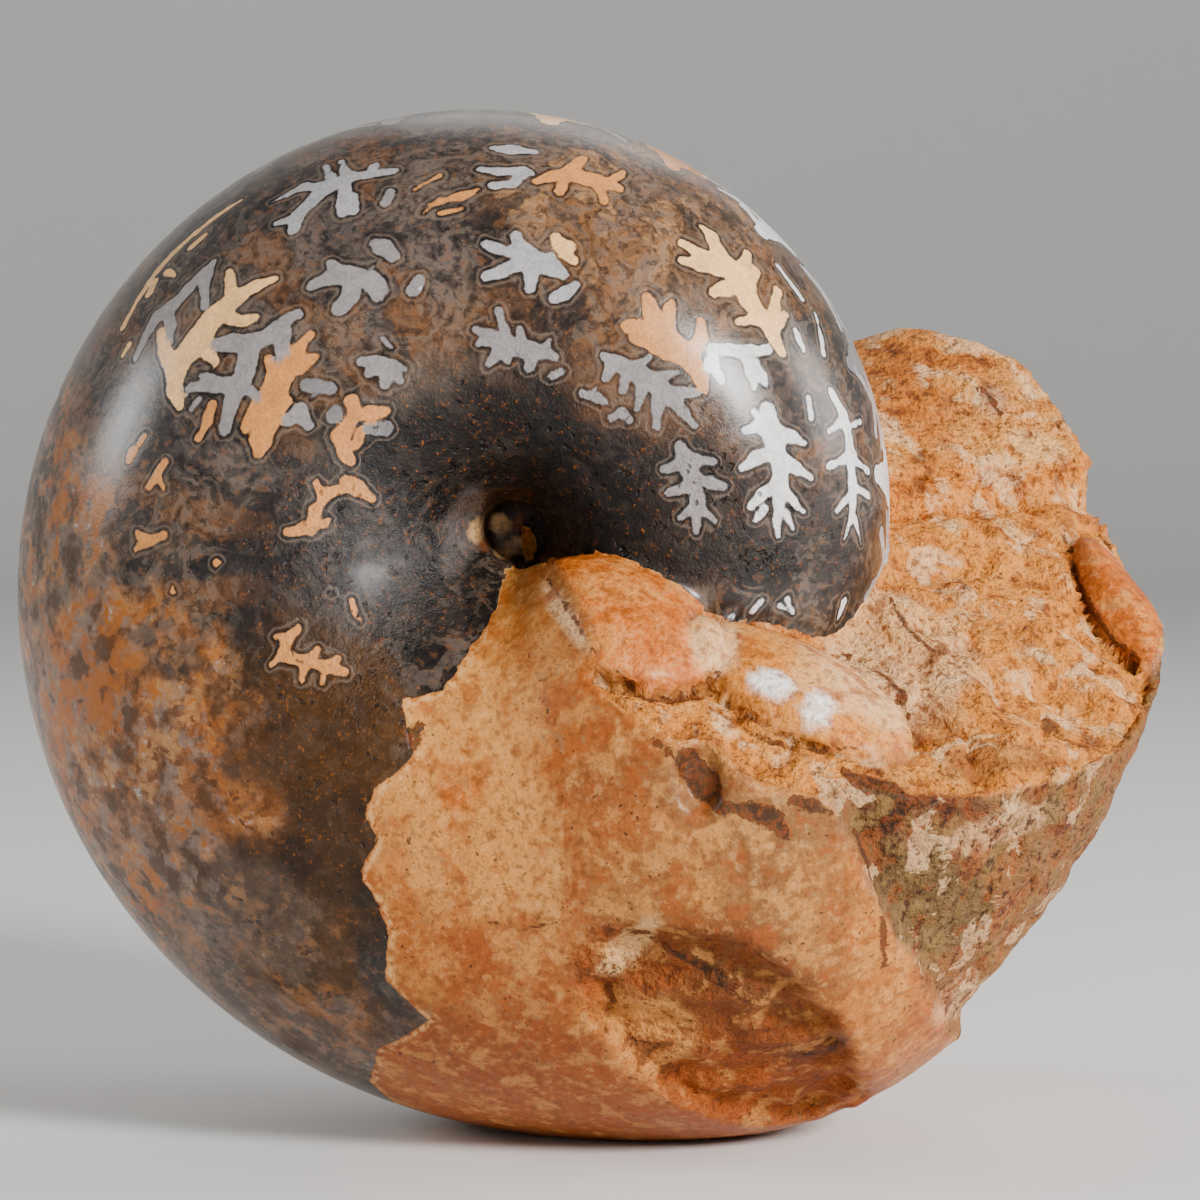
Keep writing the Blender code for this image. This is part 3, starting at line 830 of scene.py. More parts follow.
def distance_group():
    """A node group that gives the distance of a place from the coil's surface."""
    inputs = {"Place": "NodeSocketVector", **{name: "NodeSocketFloat" for name in FORM_INPUTS}}
    tree = new_tree("Coil distance", inputs, {"Distance": "NodeSocketFloat"})
    graph = Graph(tree)
    source = tree.nodes.new("NodeGroupInput")
    form = SimpleNamespace(**{key: Wire(graph, source.outputs[name]) for name, key in FORM_INPUTS.items()})
    x, y, z = graph.split(Wire(graph, source.outputs["Place"]), "ShaderNodeSeparateXYZ")
    distance = coil_parts(x, y, z, form).body
    graph.add("NodeGroupOutput", {}, {"Distance": distance}, out=None)
    return tree


def coil_tree(group):
    """The tree that makes the coil: a grid filled with the rule, its surface, and two steps onto it."""
    inputs = {
        **{name: "NodeSocketFloat" for name in FORM_INPUTS},
        "Lowest corner": "NodeSocketVector",
        "Highest corner": "NodeSocketVector",
        "Columns": "NodeSocketInt",
        "Rows": "NodeSocketInt",
        "Layers": "NodeSocketInt",
        "Material": "NodeSocketMaterial",
    }
    tree = new_tree("Ammonite coil", inputs, {"Geometry": "NodeSocketGeometry"})
    graph = Graph(tree)
    source = tree.nodes.new("NodeGroupInput")
    given = {name: Wire(graph, source.outputs[name]) for name in inputs}
    place = graph.add("GeometryNodeInputPosition")

    def distance_at(offset):
        moved = graph.vector("ADD", place, offset)
        sockets = {"Place": moved, **{name: given[name] for name in FORM_INPUTS}}
        return graph.add("GeometryNodeGroup", {"node_tree": group}, sockets)

    middle = distance_at((0.0, 0.0, 0.0))
    grid = graph.add(
        "GeometryNodeVolumeCube",
        {},
        {
            "Density": -middle,
            "Background": -NO_WHORL,
            "Min": given["Lowest corner"],
            "Max": given["Highest corner"],
            "Resolution X": given["Columns"],
            "Resolution Y": given["Rows"],
            "Resolution Z": given["Layers"],
        },
    )
    surface = graph.add("GeometryNodeVolumeToMesh", {}, {"Volume": grid, "Threshold": 0.0})
    steps = [Vector(axis) * SLOPE_STEP for axis in ((1, 0, 0), (0, 1, 0), (0, 0, 1))]
    slopes = [(distance_at(step) - middle) / SLOPE_STEP for step in steps]
    slope = graph.add("ShaderNodeCombineXYZ", {}, dict(enumerate(slopes)))
    steepness = squared(slopes[0]) + squared(slopes[1]) + squared(slopes[2])
    share = -middle / larger(steepness, LEAST_SLOPE)
    move = graph.vector("SCALE", slope, scale=share)
    for _ in range(SETTLE_ROUNDS):
        surface = graph.add("GeometryNodeSetPosition", {}, {"Geometry": surface, "Offset": move})
    surface = graph.add("GeometryNodeSetShadeSmooth", {}, {0: surface})
    surface = graph.add("GeometryNodeSetMaterial", {}, {"Geometry": surface, "Material": given["Material"]})
    surface = graph.add("GeometryNodeRealizeInstances", {}, {"Geometry": surface})
    graph.add("NodeGroupOutput", {}, {"Geometry": surface}, out=None)
    return tree


def set_inputs(modifier, tree, values):
    """Sets a modifier's inputs by their sockets' identifiers."""
    for item in tree.interface.items_tree:
        if item.item_type == "SOCKET" and item.in_out == "INPUT" and item.name in values:
            modifier[item.identifier] = values[item.name]


def coil_mesh(form, step, material):
    """The coil's surface as a plain mesh, in millimetres in the coil's frame."""
    low, high = (Vector(corner) / MM - COIL_ORIGIN for corner in CAD_BOX)
    margin = Vector((GRID_MARGIN, GRID_MARGIN, GRID_MARGIN))
    low, high = low - margin, high + margin
    counts = [int((b - a) / step) + 1 for a, b in zip(low, high)]
    tree = coil_tree(distance_group())
    carrier = bpy.data.objects.new("coil carrier", bpy.data.meshes.new("coil carrier"))
    bpy.context.scene.collection.objects.link(carrier)
    modifier = carrier.modifiers.new("Coil", "NODES")
    modifier.node_group = tree
    values = {name: getattr(form, key) for name, key in FORM_INPUTS.items()}
    values.update({"Lowest corner": tuple(low), "Highest corner": tuple(high), "Material": material})
    values.update(zip(("Columns", "Rows", "Layers"), counts))
    set_inputs(modifier, tree, values)
    depsgraph = bpy.context.evaluated_depsgraph_get()
    mesh = bpy.data.meshes.new_from_object(carrier.evaluated_get(depsgraph))
    bpy.data.objects.remove(carrier)
    return mesh


def points_of(mesh):
    flat = np.empty(len(mesh.vertices) * 3, np.float32)
    mesh.vertices.foreach_get("co", flat)
    return flat.reshape(-1, 3).astype(float)


def grown(place, size, seed, octaves=3):
    """Smooth grain between about -1 and 1, whose largest lumps measure size."""
    total, weight, weights = 0.0, 1.0, 0.0
    for octave in range(octaves):
        table = np.random.default_rng(seed + octave).uniform(-1.0, 1.0, (GRAIN_CELLS,) * 3)
        scaled = place / size + GRAIN_SHIFT * octave
        cell = np.floor(scaled).astype(int)
        share = scaled - cell
        share = share * share * (3.0 - 2.0 * share)
        for corner in itertools.product((0, 1), repeat=3):
            near = np.prod(np.where(corner, share, 1.0 - share), axis=1)
            index = ((cell + corner) % GRAIN_CELLS).T
            total = total + weight * near * table[tuple(index)]
        weights += weight
        weight *= 0.5
        size *= 0.5
    return GRAIN_GAIN * total / weights


# The photograph's view


def view_axes():
    """The camera's right, up and forward directions."""
    turn, tilt = VIEW_AZIMUTH, VIEW_ELEVATION
    forward = np.array((-math.sin(turn) * math.cos(tilt), math.cos(turn) * math.cos(tilt), -math.sin(tilt)))
    right = np.array((math.cos(turn), math.sin(turn), 0.0))
    return right, np.cross(right, forward), forward


def shown_at(place):
    """The photograph's pixels where places show."""
    right, up, forward = view_axes()
    scale = PIXELS_PER_MM * VIEW_DISTANCE / (VIEW_DISTANCE + place @ forward)
    return COIL_PIXEL[0] + scale * (place @ right), COIL_PIXEL[1] - scale * (place @ up)


def lifted(pixels, form):
    """The places of the stone's near surface that show at pixels, or the nearest to them at its edge."""
    right, up, forward = view_axes()
    pixels = np.asarray(pixels, float)
    across = (pixels[:, 0] - COIL_PIXEL[0]) / PIXELS_PER_MM
    down = (pixels[:, 1] - COIL_PIXEL[1]) / PIXELS_PER_MM
    eye = -forward * VIEW_DISTANCE
    ray = across[:, None] * right - down[:, None] * up - eye
    ray /= np.linalg.norm(ray, axis=1)[:, None]
    reach = np.full(len(pixels), VIEW_DISTANCE - RAY_START)
    nearest = np.full(len(pixels), 1e9)
    best = eye + ray * reach[:, None]
    for _ in range(RAY_STEPS):
        place = eye + ray * reach[:, None]
        distance = coil_distance(place, form)
        closer = (distance < nearest) & (nearest > RAY_TOUCH)
        nearest = np.where(closer, distance, nearest)
        best = np.where(closer[:, None], place, best)
        reach = reach + np.clip(distance, 0.0, RAY_LONGEST_STEP) * RAY_STRIDE
    return settle(best, form)


# The leaf markings


def drawn(tone, chains, form):
    """One marking of the photograph as (tone, starts, ends, start and end half widths) of its strokes."""
    strokes = []
    for chain in chains:
        strokes += [(*first, *second) for first, second in zip(chain, chain[1:] or chain)]
    strokes = np.array(strokes, float)
    starts, ends = lifted(strokes[:, 0:2], form), lifted(strokes[:, 3:5], form)
    widths = strokes[:, (2, 5)] * LEAF_FULLNESS / PIXELS_PER_MM
    return tone, starts, ends, widths[:, 0], widths[:, 1]


def flank_place(turn, share, side, form):
    """A place of the inner coil's surface: share runs from the funnel, 0, to the outer edge, 1."""
    outer = outer_radius(turn, form)
    if share < FLANK_SHARE:
        radius = THICKEST_AT * outer * (0.2 + 0.8 * share / FLANK_SHARE)
        height = form.half_thickness * outer
    else:
        angle = (share - FLANK_SHARE) / (1.0 - FLANK_SHARE) * math.pi / 2
        radius = outer * (THICKEST_AT + (1.0 - THICKEST_AT) * math.sin(angle))
        height = form.half_thickness * outer * math.cos(angle)
    return (radius * math.cos(turn), side * height, radius * math.sin(turn))


def grown_leaf(turn, share, side, length, form, rng):
    """One leaf across the whorl: a rib with digits on both sides, longest at its middle."""
    outer = float(outer_radius(turn, form))
    joints = 5
    ribs, strokes = [], []
    lean = rng.uniform(-0.05, 0.05)
    for joint in range(joints + 1):
        part = joint / joints
        ribs.append((turn + lean * part, share + length * part))
    for joint, (first, second) in enumerate(zip(ribs, ribs[1:])):
        wide = 1.7 * math.sin(math.pi * (joint + 0.9) / (joints + 1)) ** 0.7
        strokes.append((first, second, wide, wide * 0.85))
        for way in (-1, 1):
            digit = rng.uniform(3.0, 5.5) * math.sin(math.pi * (joint + 1.0) / (joints + 1)) ** 0.6 / outer
            tip = (second[0] + way * digit, second[1] + rng.uniform(0.01, 0.05))
            strokes.append((second, tip, wide * 0.55, rng.uniform(0.35, 0.6)))
    starts, ends = ([flank_place(*stroke[end], side, form) for stroke in strokes] for end in (0, 1))
    widths = np.array([stroke[2:] for stroke in strokes])
    return settle(np.array(starts), form), settle(np.array(ends), form), widths[:, 0], widths[:, 1]


def grown_leaves(form, seed, tones, rows, spacing):
    """Rows of leaves round the coil; rows lists (side, share) and spacing is in degrees."""
    rng = np.random.default_rng(seed)
    leaves = []
    for row, (side, share) in enumerate(rows):
        for step in range(int(FLANK_TURN / spacing)):
            turn = (FLANK_START + spacing * (step + 0.5 * (row % 2)) + rng.uniform(-2.5, 2.5)) * DEGREE
            tone = tones[rng.integers(len(tones))]
            leaf = grown_leaf(turn, share, side, rng.uniform(0.12, 0.17), form, rng)
            if rng.random() < 0.88:
                leaves.append((tone, *leaf))
    return leaves


def leaf_distance(place, leaf):
    """Distance of places from a leaf's outline; it is negative inside."""
    _, starts, ends, first, last = leaf
    way = ends - starts
    length = np.maximum((way * way).sum(axis=1), 1e-6)
    offset = place[:, None, :] - starts[None, :, :]
    share = np.clip((offset * way).sum(axis=2) / length, 0.0, 1.0)
    gap = np.linalg.norm(offset - share[:, :, None] * way, axis=2) - (first + share * (last - first))
    return -LEAF_BLEND * np.log(np.exp(-np.clip(gap, -4, 12) / LEAF_BLEND).sum(axis=1))


def leaf_marks(place, leaves):
    """How deep inside a leaf each place is, negative outside, and the tone of the nearest leaf."""
    depth = np.full(len(place), -LEAF_REACH)
    tone = np.tile(colour("pale"), (len(place), 1))
    for leaf in leaves:
        points = np.concatenate((leaf[1], leaf[2]))
        middle = points.mean(axis=0)
        reach = np.linalg.norm(points - middle, axis=1).max() + LEAF_REACH + 2.0
        close = np.nonzero(((place - middle) ** 2).sum(axis=1) < reach * reach)[0]
        if len(close) == 0:
            continue
        inside = -leaf_distance(place[close], leaf)
        nearer = inside > depth[close]
        depth[close[nearer]] = inside[nearer]
        tone[close[nearer]] = colour(leaf[0])
    return depth, tone


# Where the stone changes


def patch(zones, middle_x, middle_y, wide, high, turn):
    """1 inside a soft, frayed oval on the photograph, 0 outside."""
    turn = turn * DEGREE
    right, down = zones.x - middle_x, zones.y - middle_y
    across = (right * math.cos(turn) + down * math.sin(turn)) / wide
    length = (down * math.cos(turn) - right * math.sin(turn)) / high
    return smooth(1.22, 0.80, np.hypot(across, length) + zones.fray)


def fill_edge(parts, place):
    """Distance past the jagged edge where the stone fill starts; it is positive on the fill."""
    turns, radii = np.array(FILL_EDGE).T
    edge = np.interp(parts.radius, radii, turns)
    far_edge = 262.0 + 3.0 * np.sin(parts.radius * 0.55)
    edge = edge + (far_edge - edge) * smooth(-6.0, 10.0, place[:, 1])
    turn = parts.turn / DEGREE
    return (turn - edge) * DEGREE * np.maximum(parts.radius, 2.0)


def stone_zones(place, form):
    """Soft masks of the stone's kinds of surface at places, each 0 to 1 or a distance."""
    parts = coil_parts(place[:, 0], place[:, 1], place[:, 2], form)
    x, y = shown_at(np.stack((place[:, 0], -np.abs(place[:, 1]), place[:, 2]), axis=1))
    fray = 0.32 * grown(place, 5.0, 11, 4)
    last = parts.inner - parts.arm
    cuts = np.maximum.reduce([parts.broken, parts.far, parts.near - 0.2])
    zones = SimpleNamespace(x=x, y=y, fray=fray)
    zones.fill = np.where(parts.turn > math.pi, np.maximum(fill_edge(parts, place), last), 4.0 * last)
    zones.fill = np.clip(zones.fill, -4.0, 4.0)
    on_last = smooth(-0.3, 0.3, last)
    zones.broken = on_last * smooth(-0.5, 0.1, cuts - np.maximum(parts.last, parts.rim))
    weathered = smooth(-0.3, 0.8, weather_place(place[:, 0], place[:, 2]) + 0.6 * grown(place, 4.0, 5))
    zones.weathered = on_last * (1 - zones.broken) * weathered * smooth(22.0, 6.0, place[:, 1])
    near = smooth(*NEAR_SIDE, place[:, 1])
    scar = smooth(1.06, 0.92, scar_place(place[:, 0], place[:, 2]) + 0.4 * fray)
    zones.scar = on_last * near * (1 - zones.broken) * scar
    right, back = place @ np.array(BREAK_RIGHT), place @ np.array(BREAK_BACK)
    zones.shell = np.zeros(len(place))
    zones.crease = np.zeros(len(place))
    zones.tint = np.tile(colour("shell"), (len(place), 1))
    for tone, (middle, half_sizes, turn, _, _) in zip(SHELL_TONES, SHELLS):
        share = hump(right, back, middle, np.array(half_sizes) * 1.25, turn, 1.0, 1.0)
        inside = smooth(0.36, 0.40, share + 0.05 * zones.fray)
        zones.shell = np.maximum(zones.shell, inside)
        zones.tint = zones.tint + (colour(tone) - zones.tint) * inside[:, None]
        # a band round each shell's foot: the relief sinks it, and it is darkened as painted shade
        zones.crease = np.maximum(zones.crease, np.exp(-(((share - 0.35) / 0.05) ** 2)))
    zones.shell, zones.crease = zones.shell * zones.broken, zones.crease * zones.broken
    zones.lobe = zones.broken * smooth(*LEDGE_STEP, ledge_place(right, back))
    zones.grit = np.maximum.reduce([strength * patch(zones, *spot) for strength, *spot in GRIT])
    zones.crystal = np.maximum.reduce([strength * patch(zones, *spot) for strength, *spot in CRYSTAL])
    zones.parts = parts
    return zones


def painted(zones, base, spots, shown):
    """A base colour with soft ovals of other tones laid over it, where shown is 1."""
    result = base
    for tone, strength, *spot in spots:
        share = strength * patch(zones, *spot) * shown
        result = result + (colour(tone) - result) * share[:, None]
    return result


def ground_colour(place, zones):
    """The colours of the shell and of the stone fill under their fine grain, with painted shade in the
    creases round the shells.
    """
    everywhere = np.ones((len(place), 1))
    shell = painted(zones, everywhere * colour("umber"), GROUNDS, np.ones(len(place)))
    fill = everywhere * colour("sand")
    for tone, size, seed in (("wheat", 19.0, 71), ("weathered", 13.0, 73), ("amber", 16.0, 75)):
        fill = fill + (colour(tone) - fill) * (0.6 * smooth(0.0, 0.7, grown(place, size, seed)))[:, None]
    covers = (("peach", 1.0, "broken"), ("weathered", 0.8, "weathered"), ("clay", 0.5, "scar"))
    for tone, strength, mask in covers:
        fill = fill + (colour(tone) - fill) * (strength * getattr(zones, mask))[:, None]
    fill = fill + (zones.tint - fill) * (0.85 * zones.shell)[:, None]
    # painted shade: the crease round each shell is darkened toward the hollow tone
    fill = fill + (colour("hollow") - fill) * (0.6 * zones.crease)[:, None]
    near = np.maximum(smooth(12.0, 2.0, place[:, 1]), zones.broken)
    fill = painted(zones, fill, FILLS, near)
    return shell, fill


def relief(place, zones):
    """How far the fine shape stands out of the rule's surface, in millimetres."""
    rough = zones.broken * (1 - 0.92 * zones.shell) * (1 - 0.65 * zones.lobe)
    lumps = grown(place, 3.4, 21, 3)
    sharp = 1 - 2 * np.abs(grown(place, 5.5, 24, 3))
    wide = grown(place, 9.0, 27, 2)
    height = rough * (1.1 * wide + 0.45 * lumps - 0.7 * smooth(0.35, 1.0, sharp) - 0.5) - 0.7 * zones.crease
    height += zones.weathered * (0.42 * grown(place, 4.2, 31, 3) - 0.25 * smooth(0.5, 1.0, sharp))
    steps = grown(place * (1.0, 1.0, 1.8), 5.0, 41, 2)
    height += zones.scar * (0.5 * np.tanh(3.0 * steps) + 0.25 * lumps - 0.2)
    on_fill = smooth(-0.1, 0.1, zones.fill)
    smooth_fill = on_fill * (1 - zones.broken) * (1 - zones.weathered) * (1 - zones.scar)
    height += smooth_fill * 0.07 * grown(place, 2.6, 51, 3)
    pits = smooth(0.3, 0.8, grown(place, 2.6, 63, 2))
    height += (1 - on_fill) * zones.grit * (0.10 * grown(place, 1.9, 61, 2) - 0.12 * pits)
    for middle, radius, depth in HOLES:
        away = np.linalg.norm(place - np.array(middle), axis=1) / radius
        height -= depth * np.exp(-(away**4))
    return height


# The mesh


def finer(mesh, wanted):
    """Cuts the edges whose two ends are wanted."""
    bm = bmesh.new()
    bm.from_mesh(mesh)
    bm.verts.ensure_lookup_table()
    edges = [edge for edge in bm.edges if wanted[edge.verts[0].index] and wanted[edge.verts[1].index]]
    bmesh.ops.subdivide_edges(bm, edges=edges, cuts=1, use_grid_fill=True)
    for face in bm.faces:
        face.smooth = True
    bm.to_mesh(mesh)
    bm.free()


def put_points(mesh, place):
    mesh.vertices.foreach_set("co", place.astype(np.float32).ravel())
    mesh.update()


def vertex_normals(mesh):
    flat = np.empty(len(mesh.vertices) * 3, np.float32)
    mesh.vertex_normals.foreach_get("vector", flat)
    return flat.reshape(-1, 3).astype(float)


def store(mesh, name, values):
    """Stores one number or one colour for each vertex."""
    if values.ndim == 1:
        attribute = mesh.attributes.new(name, "FLOAT", "POINT")
        attribute.data.foreach_set("value", values.astype(np.float32))
        return
    attribute = mesh.attributes.new(name, "FLOAT_COLOR", "POINT")
    rgba = np.concatenate((values, np.ones((len(values), 1))), axis=1)
    attribute.data.foreach_set("color", rgba.astype(np.float32).ravel())


def marked(place, leaves, cracks, zones, band):
    """Which places are near the outline of a marking or the edge of the fill, on the seen side."""
    near = place[:, 1] < FINE_UP_TO
    leaf = (np.abs(leaf_marks(place, leaves)[0]) < band) & (zones.fill < 0.3)
    crack = (np.abs(leaf_marks(place, cracks)[0]) < band) & (zones.fill > 0.0)
    edge = (np.abs(zones.fill) < band) & (zones.parts.turn > math.pi)
    return (leaf | crack | edge) & near


def rough(place, zones):
    """Which places are rough stone or lie in the umbilicus."""
    near = place[:, 1] < FINE_UP_TO
    broken = (zones.broken > 0.3) & (zones.shell < 0.5) & (place[:, 1] < 24.0)
    worn = ((zones.scar > 0.3) | (zones.weathered > 0.3)) & near
    return broken | worn | ((zones.parts.radius < 7.0) & near)


def finished_mesh(form, material):
    """The coil's mesh, finer where it matters, with its grain and its markings; in the object's frame."""
    mesh = coil_mesh(form, COARSE_STEP, material)
    leaves = [drawn(tone, chains, form) for tone, *chains in LEAVES]
    cracks = [drawn("hollow", (chain,), form) for chain in CRACKS]
    leaves += grown_leaves(form, *HIDDEN_LEAVES)
    dim_leaves = grown_leaves(form, *DIM_LEAVES)
    for band, with_rough in ((LEAF_BAND, True), (FINE_LEAF_BAND, False)):
        place = points_of(mesh)
        zones = stone_zones(place, form)
        wanted = marked(place, leaves, cracks, zones, band)
        finer(mesh, wanted | rough(place, zones) if with_rough else wanted)
        put_points(mesh, settle(points_of(mesh), form))
    place = points_of(mesh)
    zones = stone_zones(place, form)
    depth, tone = leaf_marks(place, leaves)
    dim_depth, dim_tone = leaf_marks(place, dim_leaves)
    shell_ground, fill_ground = ground_colour(place, zones)
    for name, values in (
        ("dim_depth", dim_depth),
        ("dim_tone", dim_tone),
        ("leaf_depth", depth),
        ("leaf_tone", tone),
        ("crack_depth", leaf_marks(place, cracks)[0]),
        ("shell_ground", shell_ground),
        ("fill_ground", fill_ground),
        ("fill", zones.fill),
        ("broken", zones.broken),
        ("weathered", zones.weathered),
        ("scar", zones.scar),
        ("smooth_shell", zones.shell),
        ("grit", zones.grit),
        ("crystal", zones.crystal),
    ):
        store(mesh, name, values)
    place = place + vertex_normals(mesh) * relief(place, zones)[:, None]
    place = (place + np.array(COIL_ORIGIN)) * MM
    put_points(mesh, np.clip(place, *np.array(CAD_BOX)))
    return mesh


def colour(name):
    """A palette colour, in linear light."""
    share = (np.array(PALETTE[name]) / 255.0) ** RICHNESS
    return np.where(share > 0.04045, ((share + 0.055) / 1.055) ** 2.4, share / 12.92)


# The finish


def band(value, middle, half_width):
    """1 where a value is at the middle of a band, falling to 0 at the band's edges."""
    return clip01(1.0 - size_of(value - middle) / half_width)


def laid(graph, below, layers):
    """A colour with layers over it, each a share and a tone; the last one is on top."""
    for share, tone in layers:
        below = graph.mix(share, below, tone if isinstance(tone, Wire) else tuple(colour(tone)))
    return below


def stone_material(look):
    """Polished shell with leaf markings, and the dull stone that fills and ends it."""
    material = bpy.data.materials.new("Ammonite stone")
    material.use_nodes = True
    tree = material.node_tree
    tree.nodes.clear()
    graph = Graph(tree)
    place = graph.vector("SCALE", graph.add("ShaderNodeTexCoord", out="Object"), scale=1.0 / MM)

    def stored(name, out="Fac"):
        return graph.add("ShaderNodeAttribute", {"attribute_name": name}, out=out)

    # Grain of several sizes, and places pushed about by it
    fine = graph.noise(place, 1.1, 4.0, 0.6)
    middle = graph.noise(place, 0.33, 4.0, 0.6, 0.2)
    broad = graph.noise(place, 0.1, 3.0, 0.55, 0.5)
    dust = graph.noise(place, 3.2, 3.0, 0.7)
    warp = graph.noise(place, 0.75, 2.0, 0.5)
    lobes = graph.noise(place, 0.42, 1.0, 0.5)
    contour = graph.noise(place, 0.26, 3.0, 0.55, 2.4)
    drift = graph.noise(place, 0.9, 2.0, 0.5, out="Color")
    warped = graph.vector("ADD", place, graph.vector("SCALE", drift, scale=1.6))

    # The kinds of stone
    fill = stored("fill")
    edge = fill + (warp - 0.5) * 0.9
    on_fill = clip01(edge / 0.12 + 0.5)
    on_shell = 1.0 - on_fill
    broken, weathered, scar = stored("broken"), stored("weathered"), stored("scar")
    rounded, grit, crystal = stored("smooth_shell"), stored("grit"), stored("crystal")
    dull = larger(larger(broken * (1.0 - rounded * 0.8), weathered), scar)
    dull_fill = dull * on_fill
    smooth_fill = (1.0 - dull) * on_fill
    rough_fill = (1.0 - rounded) * on_fill
    crystals = crystal * on_shell
    frilled = on_shell * (1.0 - larger(grit, crystal) * 0.85)

    # Leaves: a crisp edge with a dark line round it, and lighter contour lines outside
    depth = stored("leaf_depth") + (lobes - 0.5) * 0.6 + (warp - 0.5) * 0.45 + (fine - 0.5) * 0.3
    leaf = clip01(depth / 0.13 + 0.5) * on_shell
    outline = clip01(1.2 - size_of(depth + 0.10) / 0.16) * on_shell
    outline = outline * (0.35 + 0.65 * smooth(0.42, 0.56, middle))
    halo = band(depth, -0.46, 0.16) * on_shell
    ring = band(depth, -0.80, 0.14) * on_shell
    dim_depth = stored("dim_depth") + (lobes - 0.5) * 1.6 + (warp - 0.5) * 0.9
    phase = contour * 16.0 + depth * 2.0
    lines = smooth(0.72, 0.95, phase.math("SINE", phase))
    edges = larger(band(contour, 0.53, 0.012), band(contour, 0.44, 0.010))
    crack = clip01((stored("crack_depth") + (fine - 0.5) * 1.6 + (dust - 0.5) * 0.7) / 0.10 + 0.4)
    crack = crack * clip01(fill * 4.0 + 2.0)

    # Crystals, specks, stains and pits
    grain, _, stain = graph.split(graph.cells(warped, 1.2, out="Color"), "ShaderNodeSeparateColor")
    veil = smooth(0.48, 0.66, middle + (grain - 0.5) * 0.12)
    specks = smooth(0.56, 0.66, dust) * smooth(0.52, 0.6, fine)
    pale = smooth(0.52, 0.62, graph.noise(place, 0.2, 5.0, 0.62, 0.5))
    dots = smooth(0.57, 0.64, graph.noise(place, 2.0, 2.0, 0.6)) * smooth(0.44, 0.58, middle)
    grime = smooth(0.50, 0.60, graph.noise(place, 0.16, 4.0, 0.65)) * smooth(0.50, 0.60, fine)
    pepper = smooth(0.20, 0.10, graph.cells(warped, 1.0)) * smooth(0.46, 0.56, broad)
    lip = band(edge, 0.5, 0.5) * (1.0 - broken) * smooth(0.42, 0.56, fine)
    pits = smooth(0.34, 0.14, graph.cells(warped, 0.9)) * smooth(0.45, 0.6, middle) * grit * on_shell

    level = 0.55 + middle * 0.6 + broad * 0.35 + (dust - 0.5) * 1.1 + (fine - 0.5) * 0.6
    shade = graph.add("ShaderNodeCombineColor", {}, {0: level, 1: level, 2: level})
    ground = graph.mix(on_fill, stored("shell_ground", "Color"), stored("fill_ground", "Color"))
    layers = (
        # Dim leaves and frilled clouds of the shell's inner walls, between the leaves
        (clip01(dim_depth / 0.3 + 0.5) * frilled * 0.7, stored("dim_tone", "Color")),
        (band(dim_depth, 0.0, 0.24) * frilled * 0.6, "soot"),
        (smooth(0.52, 0.55, contour) * frilled * 0.45, "dusk"),
        (smooth(0.44, 0.60, broad) * frilled * 0.2, "dusk"),
        (smooth(0.46, 0.43, contour) * frilled * 0.4, "charcoal"),
        (smooth(0.60, 0.62, contour) * frilled * 0.35, "ash"),
        (edges * frilled * 0.4, "soot"),
        (lines * frilled * 0.3, "soot"),
        (smooth(0.50, 0.40, broad) * on_shell * 0.35, "soot"),
        # Clear and white crystals with rusty stains, low on the left, and the shell's specks
        ((veil * 0.75 + grain * 0.18) * crystals, "blush"),
        (smooth(0.50, 0.60, lobes * 0.6 + fine * 0.4) * crystals * 0.6, "pearl"),
        (smooth(0.60, 0.72, fine) * veil * crystals * 0.8, "white"),
        (smooth(0.56, 0.66, middle * 0.5 + stain * 0.1 + broad * 0.5) * crystals * 0.85, "rust"),
        (smooth(0.47, 0.38, middle) * crystals * 0.75, "bronze"),
        (smooth(0.46, 0.40, fine) * frilled * 0.5, "soot"),
        (smooth(0.56, 0.62, fine) * frilled * 0.4, "bark"),
        (specks * grit * on_shell * 0.7, "rust"),
        # The fill: tan and peach clouds, pale and dark stains, specks and cracks
        (smooth(0.52, 0.62, middle) * on_fill * 0.5, "wheat"),
        (smooth(0.48, 0.38, middle) * on_fill * 0.55, "amber"),
        (pale * broken * rough_fill * 0.7, "bloom"),
        (smooth(0.47, 0.34, fine) * dull_fill * 0.75, "clay"),
        (smooth(0.42, 0.34, middle) * dull_fill * 0.5, "hollow"),
        (smooth(0.50, 0.60, middle) * weathered * on_fill * 0.6, "moss"),
        (smooth(0.54, 0.62, pale) * weathered * on_fill * 0.5, "bloom"),
        (smooth(0.44, 0.34, fine) * weathered * on_fill * 0.7, "hollow"),
        (smooth(0.60, 0.68, dust) * smooth(0.5, 0.62, middle) * on_fill * 0.55, "weathered"),
        (smooth(0.46, 0.38, fine) * smooth_fill * 0.45, "clay"),
        (smooth(0.54, 0.66, fine) * smooth_fill * 0.22, "cream"),
        (dots * smooth_fill * 0.5, "weathered"),
        (grime * rough_fill * 0.55, "weathered"),
        (pepper * rough_fill * 0.8, "hollow"),
        (lip * 0.6, "cream"),
        (crack * 0.8, "hollow"),
        (crack * smooth(0.47, 0.56, fine) * 0.8, "clay"),
        # The leaves with their lines, and the shell's pits
        (halo * 0.55, "dusk"),
        (ring * 0.4, "soot"),
        (leaf, graph.mix(1.0, stored("leaf_tone", "Color"), shade, "MULTIPLY")),
        (outline * 0.8, "soot"),
        (pits * 0.6, "soot"),
    )
    paint = laid(graph, graph.mix(1.0, ground, shade, "MULTIPLY"), layers)

